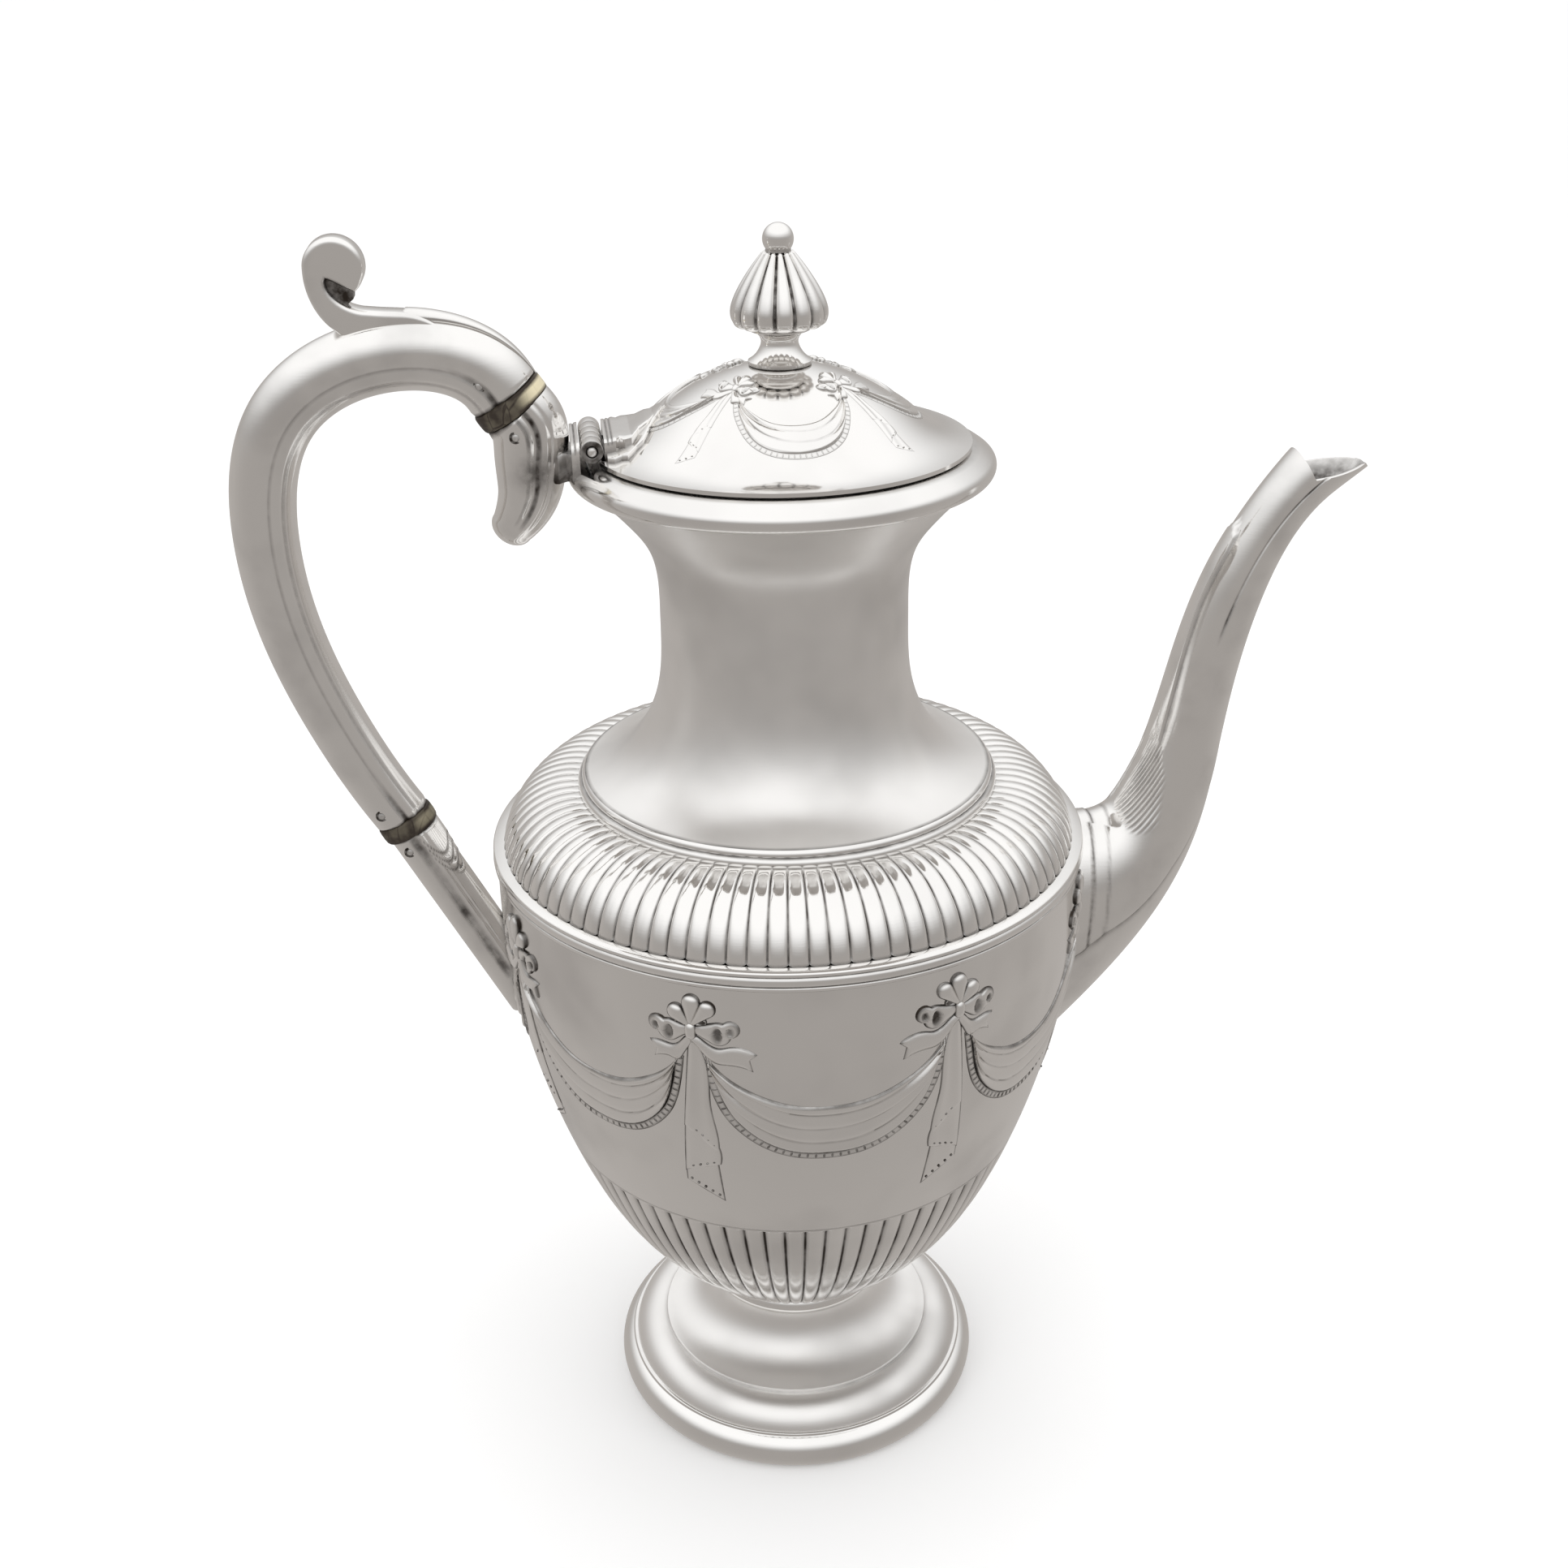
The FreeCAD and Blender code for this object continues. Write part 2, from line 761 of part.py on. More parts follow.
def insulator(start, end, depth, upper_tube, lower_tube):
    """A band from start to end, with a round-ended tenon into the tube on each side of it."""
    proud = depth + 2 * insulator_proud
    band = tube(straight_path(start, end), 2, lambda length: (proud, proud * grip_width_ratio))
    upper_tenon = upper_tube.common(Part.makeSphere(tenon_reach, start))
    lower_tenon = lower_tube.common(Part.makeSphere(tenon_reach, end))
    return band.fuse([upper_tenon, lower_tenon]).removeSplitter()


grip_tenon = grip_tube(tenon_wall)
upper_insulator = insulator(
    upper_joint,
    socket_start,
    grip_upper_depth,
    grip_tenon,
    upper_socket_tube(tenon_wall),
)
lower_insulator = insulator(
    lower_joint,
    lower_socket_start,
    grip_lower_depth,
    grip_tenon,
    lower_socket_tube(tenon_wall),
)


def peg_at(curve, length, offset, size_at, extra):
    """A peg through a tube, offset in the XZ plane from its centre line towards the outer side."""
    here = curve.parameterAtDistance(length, curve.FirstParameter)
    along = curve.tangent(here)[0]
    depth, width = size_at(length)
    outward = Vec(along.z, 0, -along.x)
    half_width = width / 2 * math.sqrt(1 - (2 * offset / depth) ** 2)
    centre = curve.value(here) + outward * offset
    return cross_cylinder(peg_radius + extra, centre, half_width + peg_proud)


peg_places = [
    (grip_path, upper_pin_distance, -upper_pin_offset, grip_size),
    (socket_path, upper_pin_distance, upper_pin_offset, upper_socket_size),
    (grip_path, grip_length - lower_pin_distance, -lower_pin_offset, grip_size),
    (lower_path, lower_pin_distance, -lower_pin_offset, lower_socket_size),
]
pegs = Part.makeCompound([peg_at(*place, 0) for place in peg_places])
peg_holes = Part.makeCompound([peg_at(*place, peg_clearance) for place in peg_places])

handle_grip = grip_form.cut(grip_tube(tube_wall)).cut(peg_holes)
upper_insulator = upper_insulator.cut(peg_holes)
lower_insulator = lower_insulator.cut(peg_holes)
upper_socket = socket_form.cut(socket_mortise).cut(peg_holes)
lower_socket = lower_socket_tube(0).cut(lower_socket_tube(tube_wall)).cut(bowl_form).cut(peg_holes)

# Thumb scroll: a curled disc on a short neck, with a leaf that runs down the arch
scroll_centre = arch_top + at(-scroll_setback, scroll_rise)
scroll_back = scroll_centre + at(-scroll_radius, 0)
scroll_foot = at(scroll_centre.x, arch_top.z + scroll_sink)
scroll_bend = (scroll_back + scroll_foot) * 0.5 - at(scroll_bow, scroll_bow)
crest_start = scroll_centre + at(crest_start_offset, -crest_start_drop)
crest_end = scroll_centre + at(crest_end_offset, -crest_end_drop)
crest_foot = at(crest_end.x, scroll_foot.z)
scroll_side = Part.Face(Part.Wire([
    Part.Arc(scroll_back, scroll_bend, scroll_foot).toShape(),
    line(scroll_foot, crest_foot),
    line(crest_foot, crest_end),
    line(crest_end, crest_start),
    line(crest_start, scroll_centre),
    line(scroll_centre, scroll_back),
]))
scroll_side.translate(ACROSS * (-scroll_width / 2))
thumb_scroll = scroll_side.extrude(ACROSS * scroll_width)
thumb_scroll = thumb_scroll.fuse(cross_cylinder(scroll_radius, scroll_centre, scroll_width / 2))
leaf_skin = grip_tube(-leaf_tail_thickness)
leaf_window = block(
    scroll_foot.x,
    scroll_foot.x + leaf_tail_length,
    leaf_tail_width / 2,
    arch_top.z,
    scroll_centre.z,
)
thumb_scroll = thumb_scroll.fuse(leaf_skin.common(leaf_window)).cut(grip_form).removeSplitter()

# Hinge: a barrel of knuckles on one pin, a leaf on the lid and a leaf on the rim
hinge = at(-lid_radius + hinge_inset, ledge + hinge_lift + lid_gap)
knuckle_length = barrel_length / knuckle_count
sweep_radius = barrel_radius + knuckle_sweep


def knuckles(first, radius, margin):
    """Every second knuckle from first, with margin taken off each end."""
    made = []
    for index in range(first, knuckle_count, 2):
        middle = -barrel_length / 2 + knuckle_length * (index + 0.5)
        made.append(cross_cylinder(radius, hinge + ACROSS * middle, knuckle_length / 2 - margin))
    return Part.makeCompound(made)


pin_half_length = barrel_length / 2 + hinge_pin_proud
hinge_pin = cross_cylinder(hinge_pin_radius, hinge, pin_half_length)
pin_hole = cross_cylinder(hinge_pin_radius + pin_clearance, hinge, pin_half_length)

back_plate = block(
    hinge.x - back_plate_reach,
    hinge.x - back_plate_overlap,
    barrel_length / 2 - knuckle_gap,
    neck_top,
    hinge.z + back_plate_rise,
)
hinge_arm = block(
    hinge.x - hinge_arm_reach,
    hinge.x - barrel_radius,
    hinge_arm_width / 2,
    neck_top + rim_bulge_height,
    hinge.z + hinge_arm_rise,
)
body_leaf = back_plate.cut(knuckles(1, sweep_radius, -knuckle_gap))
body_leaf = body_leaf.fuse(hinge_arm.cut(knuckles(1, sweep_radius, -knuckle_gap)))
body_leaf = body_leaf.fuse(knuckles(0, barrel_radius, knuckle_gap / 2))
rim_form = rim.fuse(upright_cylinder(mouth_radius, neck_top, ledge))
rim_form = rim_form.fuse(filled_below(neck_profile))
hinge_body_leaf = body_leaf.cut(rim_form).cut(socket_form).cut(pin_hole).removeSplitter()

leaf_top = hinge.z + leaf_rise
leaf_plan = [
    (hinge.x, leaf_half_width),
    (hinge.x + leaf_length, leaf_half_width),
    (hinge.x + leaf_waist_reach, leaf_waist_half_width),
    (hinge.x + leaf_tip_reach, leaf_tip_half_width),
]
leaf_side = [
    at(hinge.x, lid_base),
    at(hinge.x, leaf_top - barrel_radius / 2),
    at(hinge.x + barrel_radius, leaf_top - barrel_radius / 2),
    at(hinge.x + leaf_length, leaf_top),
    at(hinge.x + leaf_tip_reach, hinge.z + leaf_tip_rise),
    at(hinge.x + leaf_tip_reach, lid_base),
]
leaf_base_plan = [
    (hinge.x + leaf_base_start, leaf_base_half_width),
    (hinge.x + leaf_length, leaf_base_half_width),
    (hinge.x + leaf_waist_reach, leaf_half_width),
    (hinge.x + leaf_tip_reach, leaf_tip_half_width),
]
raised_lid = lid_form.copy()
raised_lid.translate(UP * leaf_base_thickness)
lid_leaf = plan_prism(leaf_plan, lid_base, lid_top).common(side_prism(leaf_side, leaf_half_width))
lid_leaf = lid_leaf.fuse(plan_prism(leaf_base_plan, lid_base, lid_top).common(raised_lid))
lid_notch = block(-far, hinge.x + sweep_radius, barrel_length / 2 + knuckle_sweep, neck_top, lid_top)
lid_dome = lid_form.cut(lid_hollow).cut(stud_hole).cut(lid_notch)
lid_leaf = lid_leaf.cut(lid_form)
lid_leaf = lid_leaf.cut(cross_cylinder(barrel_radius, hinge, barrel_length))
lid_leaf = lid_leaf.cut(knuckles(0, sweep_radius, -knuckle_gap / 2))
lid_leaf = lid_leaf.fuse(knuckles(1, barrel_radius, knuckle_gap / 2))
hinge_lid_leaf = lid_leaf.cut(pin_hole).removeSplitter()

# Spout: a swan neck that flares into the bowl and ends in a cut beak
spout_root = at(bowl_top_radius - spout_root_sink, bowl_top - spout_root_drop)
spout_flare = spout_root + at(spout_flare_run, spout_flare_climb)
spout_throat = spout_flare + at(spout_throat_run, spout_throat_climb)
spout_bend = spout_throat + at(spout_bend_run, spout_bend_climb)
spout_low = spout_bend + at(spout_low_run, spout_low_climb)
spout_high = spout_low + at(spout_high_run, spout_high_climb)
spout_beak = spout_high + at(spout_beak_run, spout_beak_climb)
spout_tip = spout_beak + at(spout_tip_run, spout_tip_climb)
spout_stations = [
    (spout_root, spout_root_rise, spout_root_depth, spout_root_width),
    (spout_flare, spout_flare_rise, spout_flare_depth, spout_flare_width),
    (spout_throat, spout_throat_rise, spout_throat_depth, spout_throat_width),
    (spout_bend, spout_bend_rise, spout_bend_depth, spout_bend_width),
    (spout_low, spout_low_rise, spout_low_depth, spout_low_width),
    (spout_high, spout_high_rise, spout_high_depth, spout_high_width),
    (spout_beak, spout_beak_rise, spout_beak_depth, spout_beak_width),
    (spout_tip, spout_tip_rise, spout_tip_depth, spout_tip_width),
]


def spout_form(grown):
    """The spout's solid form, grown all round."""
    wires = []
    for centre, rise, depth, width in spout_stations:
        wires.append(oval(centre, heading(-rise, 1), depth + 2 * grown, width + 2 * grown))
    return Part.makeLoft(wires, True)


lip = spout_beak + at(-lip_setback, lip_climb)
notch = spout_beak + at(notch_run, notch_climb)
beak_end = spout_tip + at(beak_end_run, -beak_end_drop)
beak_run = beak_end + (beak_end - notch)
mouth_cut = side_prism([lip, notch, beak_run, at(beak_run.x, far), at(lip.x, far)], spout_root_width)

# The raised strips on both sides of the spout's root end above its keel
strip_limit = filled_below(moved_inwards(bowl_profile, -root_strip_width))
strip_limit = strip_limit.cut(block(-far, far, far, 0, bowl_top - root_strip_length))
root_strips = spout_form(root_strip_thickness).common(strip_limit)
body_form = bowl_form.fuse(girdle.fuse(upright_cylinder(shoulder_bore, bowl_top, girdle_top)))
spout = spout_form(0).fuse(root_strips).cut(body_form).cut(shoulder_form)
spout = spout.cut(spout_form(-tube_wall)).cut(mouth_cut).removeSplitter()

pieces = {
    "foot_rim": foot_rim,
    "foot": foot,
    "knop": knop,
    "bowl": bowl,
    "girdle": girdle,
    "shoulder": shoulder,
    "neck_collar": collar,
    "neck": neck,
    "mouth_rim": rim,
    "lid_dome": lid_dome,
    "lid_bezel": lid_bezel,
    "finial_stem": finial_stem,
    "finial_cap": finial_cap,
    "finial_ball": finial_ball,
    "finial_stud": finial_stud,
    "finial_nut": finial_nut,
    "hinge_body_leaf": hinge_body_leaf,
    "hinge_lid_leaf": hinge_lid_leaf,
    "hinge_pin": hinge_pin,
    "upper_socket": upper_socket,
    "upper_insulator": upper_insulator,
    "handle_grip": handle_grip,
    "thumb_scroll": thumb_scroll,
    "lower_insulator": lower_insulator,
    "lower_socket": lower_socket,
    "insulator_pegs": pegs,
    "spout": spout,
}

os.makedirs("parts", exist_ok=True)
for name, shape in pieces.items():
    shape.exportStep(f"parts/{name}.step")
    print(name, len(shape.Solids), round(shape.Volume, 1), shape.isValid())
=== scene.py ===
import logging
import math
from dataclasses import dataclass, field
from enum import Enum
from functools import reduce
from typing import Callable, Mapping, Optional, Sequence, Union

import bpy
import numpy as np
from mathutils import Matrix, Vector


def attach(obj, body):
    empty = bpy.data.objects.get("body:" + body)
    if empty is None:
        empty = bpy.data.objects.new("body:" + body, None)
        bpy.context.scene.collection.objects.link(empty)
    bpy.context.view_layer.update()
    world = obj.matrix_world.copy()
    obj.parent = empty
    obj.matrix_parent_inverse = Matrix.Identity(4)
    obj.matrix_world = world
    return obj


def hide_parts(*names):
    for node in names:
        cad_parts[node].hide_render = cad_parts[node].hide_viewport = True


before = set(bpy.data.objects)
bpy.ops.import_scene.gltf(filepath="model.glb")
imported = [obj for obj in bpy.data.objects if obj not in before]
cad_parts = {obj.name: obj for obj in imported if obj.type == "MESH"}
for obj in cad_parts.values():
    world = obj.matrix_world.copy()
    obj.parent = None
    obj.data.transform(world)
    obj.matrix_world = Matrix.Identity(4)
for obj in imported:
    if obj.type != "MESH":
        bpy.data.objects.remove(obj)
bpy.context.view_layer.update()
LOG = logging.getLogger("coffee_pot")
MM = 0.001
TURN = 2 * math.pi
TINY = 1e-6
ROUND = 256
SHEET = 0.9
END_DRAW = 0.96
ROUNDED = math.sqrt(0.5)
HOLLOW = 1 - math.sqrt(0.5)
Array = np.ndarray
Point = Sequence[float]
Pairs = Sequence[Point]
Marks = Union[float, Array]
Height = Callable[[Array, Array], Array]
Piece = bpy.types.Object
Socket = bpy.types.NodeSocket
Feed = Union[float, str, Point, Socket]
Feeds = Mapping[Union[int, str], Feed]


class Body(Enum):
    """The bodies that the pieces ride on."""

    POT = "pot"
    LID = "lid"


class Slot(Enum):
    """The material slots of the record."""

    RAISED = "raised_silver"
    CAST = "cast_silver"
    PINS = "silver_pins"
    BONE = "bone"


# Lines and profiles


def smooth_table(places: Array, values: Array, marks: Array) -> Array:
    """Reads a smooth curve through values at other places.

    Args:
        places: Rising places of the values.
        values: One row of numbers for each place.
        marks: The places to read.

    Returns:
        One row for each mark.
    """
    spans = np.diff(places)
    slopes = np.diff(values, axis=0) / spans[:, None]
    last = len(places) - 1
    if last == 1:
        return values[0] + slopes[0] * (marks - places[0])[:, None]
    system = np.eye(last + 1)
    right = np.zeros_like(values)
    right[0] = slopes[0] + (slopes[0] - slopes[1]) * spans[0] / (spans[0] + spans[1])
    right[-1] = slopes[-1] + (slopes[-1] - slopes[-2]) * spans[-1] / (spans[-1] + spans[-2])
    for row in range(1, last):
        before, after = spans[row - 1], spans[row]
        system[row, row - 1 : row + 2] = after, 2 * (before + after), before
        right[row] = 3 * (after * slopes[row - 1] + before * slopes[row])
    tangents = np.linalg.solve(system, right)
    index = np.clip(np.searchsorted(places, marks, side="right") - 1, 0, last - 1)
    span = spans[index][:, None]
    part = (marks - places[index])[:, None] / span
    rest = 1 - part
    ends = values[index] * (1 + 2 * part) * rest**2 + values[index + 1] * part**2 * (3 - 2 * part)
    return ends + span * (tangents[index] * part * rest**2 - tangents[index + 1] * part**2 * rest)


def run_lengths(points: Array) -> Array:
    """Lengths from the first point to each point of a run."""
    return np.concatenate([[0.0], np.cumsum(np.linalg.norm(np.diff(points, axis=0), axis=1))])


def smooth_line(points: Pairs, count: int) -> Array:
    """A smooth curve through points, sampled count times at even steps."""
    places = run_lengths(np.asarray(points, float))
    return smooth_table(places, np.asarray(points, float), np.linspace(0, places[-1], count))


def resampled(points: Array, count: int) -> Array:
    """A run of points drawn again with even steps."""
    lengths = run_lengths(points)
    return np.stack([np.interp(np.linspace(0, lengths[-1], count), lengths, axis) for axis in points.T], -1)


def circle(count: int) -> Array:
    """Even angles once round."""
    return np.linspace(0, TURN, count, endpoint=False)


def arc(start: Point, through: Point, end: Point, count: int) -> Array:
    """A circular arc through three points.

    Args:
        start: First point.
        through: A point on the way.
        end: Last point.
        count: Number of samples.

    Returns:
        The sampled arc, one point in a row.
    """
    first, middle, last = complex(*start), complex(*through), complex(*end)
    ratio = (last - first) / (middle - first)
    centre = first + (middle - first) * (ratio - abs(ratio) ** 2) / (2j * ratio.imag)
    to_middle = np.angle((middle - centre) / (first - centre)) % TURN
    sweep = np.angle((last - centre) / (first - centre)) % TURN
    if to_middle > sweep:
        sweep -= TURN
    spots = centre + (first - centre) * np.exp(1j * np.linspace(0, sweep, count))
    return np.stack([spots.real, spots.imag], -1)


def quarter(start: Point, end: Point, bend: float, count: int) -> Array:
    """A quarter moulding that bends out, with ROUNDED, or in, with HOLLOW."""
    middle = (end[0] + (start[0] - end[0]) * bend, start[1] + (end[1] - start[1]) * bend)
    return arc(start, middle, end, count)


def joined(*runs: Pairs) -> Array:
    """Runs of points put end to end, without doubled points."""
    points = np.vstack([np.asarray(run, float).reshape(-1, 2) for run in runs])
    return points[np.append(True, np.linalg.norm(np.diff(points, axis=0), axis=1) > TINY)]


def eased(points: Pairs, radius: float, closed: bool = True) -> Array:
    """Takes the sharpness off the corners of an outline.

    Args:
        points: The outline.
        radius: How far from a corner the easing starts.
        closed: Whether the last point joins the first.

    Returns:
        The outline with each corner drawn as a short curve.
    """
    least_turn, most_share, steps = 0.35, 0.45, np.linspace(0, 1, 5)
    points = np.asarray(points, float)
    made = []
    count = len(points)
    for index, corner in enumerate(points):
        back = points[index - 1] - corner
        ahead = points[(index + 1) % count] - corner
        long_back, long_ahead = np.linalg.norm(back), np.linalg.norm(ahead)
        turn = math.acos(np.clip(-(back @ ahead) / (long_back * long_ahead), -1, 1))
        if turn < least_turn or (not closed and index in (0, count - 1)):
            made.append(corner)
            continue
        start = corner + back * min(radius / long_back, most_share)
        end = corner + ahead * min(radius / long_ahead, most_share)
        for part in steps:
            made.append(start * (1 - part) ** 2 + corner * 2 * part * (1 - part) + end * part**2)
    return np.array(made)


def directions(path: Array) -> Array:
    """Unit directions along a path."""
    along = np.gradient(path, axis=0)
    return along / np.linalg.norm(along, axis=1)[:, None]


def left_of(along: Array) -> Array:
    """The directions to the left of others."""
    return np.stack([-along[:, 1], along[:, 0]], -1)


def offset_line(points: Array, wall: float) -> Array:
    """A profile moved one wall to its left-hand side."""
    return points + wall * left_of(directions(points))


def step_up(values: Marks, low: float, high: float) -> Array:
    """A soft step from 0 at low to 1 at high."""
    part = np.clip((values - low) / (high - low), 0, 1)
    return part * part * (3 - 2 * part)


def window(values: Array, rise: Point, fall: Point) -> Array:
    """A soft step up over rise and down again over fall."""
    return step_up(values, *rise) * (1 - step_up(values, *fall))


def hump(values: Array, middle: Marks, width: float, power: int = 2) -> Array:
    """A soft hump that is 1 at middle and fades over width."""
    return np.exp(-(np.abs((values - middle) / width) ** power))


# Meshes


class Draft:
    """One closed form while it is drawn: points in millimetres, faces, and marks for its finish."""

    def __init__(self) -> None:
        """Starts an empty form."""
        self.points: list[Array] = []
        self.grooves: list[Array] = []
        self.fluted: list[Array] = []
        self.faces: list[Array] = []
        self.size = 0

    def add(self, points: Array, groove: Marks = 0.0, fluted: Marks = 0.0) -> Array:
        """Adds points.

        Args:
            points: Points in an array of any shape that ends in x, y, z.
            groove: How dark each point is painted, from 0 to 1: patina, stain, and painted shade in
                recesses.
            fluted: Whether fluting may work each point.

        Returns:
            The index of each point, in the array's shape.
        """
        shape = points.shape[:-1]
        index = np.arange(self.size, self.size + int(np.prod(shape))).reshape(shape)
        self.points.append(points.reshape(-1, 3))
        self.grooves.append(np.broadcast_to(groove, shape).reshape(-1))
        self.fluted.append(np.broadcast_to(fluted, shape).reshape(-1))
        self.size += index.size
        return index

    def skin(self, index: Array, rows_closed: bool = False, columns_closed: bool = True) -> None:
        """Covers a grid of points with faces.

        Args:
            index: The grid.
            rows_closed: Whether the last row joins the first.
            columns_closed: Whether the last column joins the first.
        """
        down = np.roll(index, -1, 0)
        quads = np.stack([index, np.roll(index, -1, 1), np.roll(down, -1, 1), down], -1)
        quads = quads if rows_closed else quads[:-1]
        quads = quads if columns_closed else quads[:, :-1]
        self.faces.append(quads.reshape(-1, 4))

    def fan(self, ring: Array, tip: Point, groove: float = 0.0) -> None:
        """Closes a ring of points with a fan to a tip."""
        point = self.add(np.asarray(tip, float).reshape(1, 3), groove)[0]
        self.faces.append(np.stack([ring, np.roll(ring, -1), np.full_like(ring, point)], -1))

    def tube(self, rings: Array, groove: Marks = 0.0, end_groove: Optional[float] = 0.0) -> "Draft":
        """Adds a tube of rings that is closed at both ends.

        Args:
            rings: The rings' points.
            groove: Their groove marks.
            end_groove: Groove mark in the middle of each end, or None for flat ends.

        Returns:
            The same form.
        """
        start = len(self.faces)
        index = self.add(rings, groove)
        self.skin(index)
        if end_groove is None:
            self.faces += [index[:1, ::-1], index[-1:]]
        else:
            self.fan(index[0][::-1], rings[0].mean(0), end_groove)
            self.fan(index[-1], rings[-1].mean(0), end_groove)
        self.turn_outwards(start)
        return self

    def turn_outwards(self, start: int) -> None:
        """Turns the faces of one closed shell outwards.

        Args:
            start: Number of the shell's first set of faces.
        """
        points = np.vstack(self.points)
        points = points - points[self.faces[start][0, 0]]
        volume = 0.0
        for faces in self.faces[start:]:
            for second in range(1, faces.shape[1] - 1):
                a, b, c = points[faces[:, 0]], points[faces[:, second]], points[faces[:, second + 1]]
                volume += np.einsum("ij,ij->", a, np.cross(b, c))
        if volume < 0:
            self.faces[start:] = [faces[:, ::-1] for faces in self.faces[start:]]

    def make(self, name: str, sharp: float = 50) -> Piece:
        """Makes the mesh object, with its faces outwards.

        Args:
            name: The piece's name.
            sharp: Edges that turn by more degrees than this stay sharp.

        Returns:
            The new object.
        """
        self.turn_outwards(0)
        points = np.vstack(self.points) * MM
        mesh = bpy.data.meshes.new(name)
        mesh.from_pydata(points.tolist(), [], [face for faces in self.faces for face in faces.tolist()])
        for label, values in (("groove", self.grooves), ("fluted", self.fluted)):
            mark = mesh.attributes.new(label, "FLOAT", "POINT")
            mark.data.foreach_set("value", np.concatenate(values).astype(np.float32))
        mesh.shade_smooth()
        mesh.set_sharp_from_angle(angle=math.radians(sharp))
        return linked(name, mesh)

    def place(self, name: str, body: Body, finish: "Finish", *nodes: str, sharp: float = 50) -> None:
        """Makes the piece, dresses it and ties it to the part."""
        place(self.make(name, sharp), body, finish, *nodes)


def linked(name: str, data: bpy.types.ID) -> Piece:
    """Puts new data into the scene.

    Args:
        name: The object's name.
        data: Its mesh, light or camera.

    Returns:
        The new object.
    """
    made = bpy.data.objects.new(name, data)
    bpy.context.scene.collection.objects.link(made)
    return made


def turned(profile: Array, columns: Union[int, Array], groove: Marks = 0.0, fluted: Marks = 0.0) -> Draft:
    """Turns a profile about the upright axis.

    Args:
        profile: Radius and height of each point. It is a closed loop unless it starts and ends on the axis.
        columns: Number of even steps round the axis, or the angles themselves.
        groove: Groove mark of each profile point.
        fluted: Fluting mark of each profile point.

    Returns:
        The drawn form.
    """
    angles = circle(columns) if isinstance(columns, int) else columns
    groove = np.broadcast_to(groove, len(profile))
    fluted = np.broadcast_to(fluted, len(profile))
    poles = profile[0, 0] < TINY and profile[-1, 0] < TINY
    rows = slice(1, -1) if poles else slice(None)
    radius, height = profile[rows, :1], profile[rows, 1:]
    points = np.stack([radius * np.cos(angles), radius * np.sin(angles), height * np.ones(len(angles))], -1)
    draft = Draft()
    index = draft.add(points, groove[rows, None], fluted[rows, None])
    draft.skin(index, rows_closed=not poles)
    if poles:
        draft.fan(index[0][::-1], (0, 0, profile[0, 1]), groove[0])
        draft.fan(index[-1], (0, 0, profile[-1, 1]), groove[-1])
    return draft


def across_path(centres: Array, along: Array, inward: Array, across: Array) -> Array:
    """Rings across a path in the pot's middle plane, offset inward to its left and across along y."""
    x, z = centres[:, :1] - along[:, 1:] * inward, centres[:, 1:] + along[:, :1] * inward
    return np.stack([x, across, z], -1)


def draw_in(rings: Array, *ends: int) -> None:
    """Draws the end rings of a tube in a little."""
    for end in ends:
        rings[end] = rings[end].mean(0) + (rings[end] - rings[end].mean(0)) * END_DRAW


# Node trees


class TreeWriter:
    """Writes nodes into one tree, shader or geometry."""

    def __init__(self, tree: bpy.types.NodeTree) -> None:
        """Takes the tree to write in."""
        self.tree = tree

    def node(self, kind: str, feeds: Optional[Feeds] = None, **settings: object) -> bpy.types.Node:
        """Adds a node.

        Args:
            kind: Its type.
            feeds: What goes into its inputs, by name or number: a value, or an output to link.
            settings: Its options.

        Returns:
            The new node.
        """
        made = self.tree.nodes.new(kind)
        for name, value in settings.items():
            setattr(made, name, value)
        for key, value in (feeds or {}).items():
            if isinstance(value, Socket):
                self.tree.links.new(value, made.inputs[key])
            else:
                made.inputs[key].default_value = value
        return made

    def work(self, operation: str, *values: Feed) -> Socket:
        """One step of arithmetic on numbers."""
        return self.node("ShaderNodeMath", dict(enumerate(values)), operation=operation).outputs[0]

    def times(self, *values: Feed) -> Socket:
        """The product of two or more numbers."""
        return reduce(lambda one, other: self.work("MULTIPLY", one, other), values)

    def ramp(self, value: Feed, low: Feed, high: Feed, start: Feed = 0.0, end: Feed = 1.0) -> Socket:
        """A soft change from start at low to end at high."""
        feeds = dict(enumerate((value, low, high, start, end)))
        return self.node("ShaderNodeMapRange", feeds, interpolation_type="SMOOTHSTEP").outputs[0]

    def noise(self, place: Feed, scale: Feed, detail: float) -> Socket:
        """A cloudy pattern."""
        feeds = {"Vector": place, "Scale": scale, "Detail": detail}
        return self.node("ShaderNodeTexNoise", feeds).outputs[0]

    def blend(self, share: Feed, first: Point, second: Point) -> Socket:
        """A colour between two others."""
        feeds = {"Factor": share, "A": (*first, 1.0), "B": (*second, 1.0)}
        return self.node("ShaderNodeMix", feeds, data_type="RGBA").outputs["Result"]

    def mark(self, name: str) -> Socket:
        """A mark that a piece carries, for a shader."""
        return self.node("ShaderNodeAttribute", attribute_name=name).outputs["Fac"]

    def carried(self, name: str, kind: str = "FLOAT") -> Socket:
        """A mark that a piece carries, for a geometry tree."""
        return self.node("GeometryNodeInputNamedAttribute", {"Name": name}, data_type=kind).outputs[0]

    def end_geometry(self, geometry: Socket, material: Socket) -> None:
        """Ends a geometry tree with plain geometry in one material.

        Args:
            geometry: What the tree has made.
            material: Its material.
        """
        whole = self.node("GeometryNodeRealizeInstances", {0: geometry}).outputs[0]
        dressed = self.node("GeometryNodeSetMaterial", {"Geometry": whole, "Material": material})
        self.node("NodeGroupOutput", {0: dressed.outputs[0]})


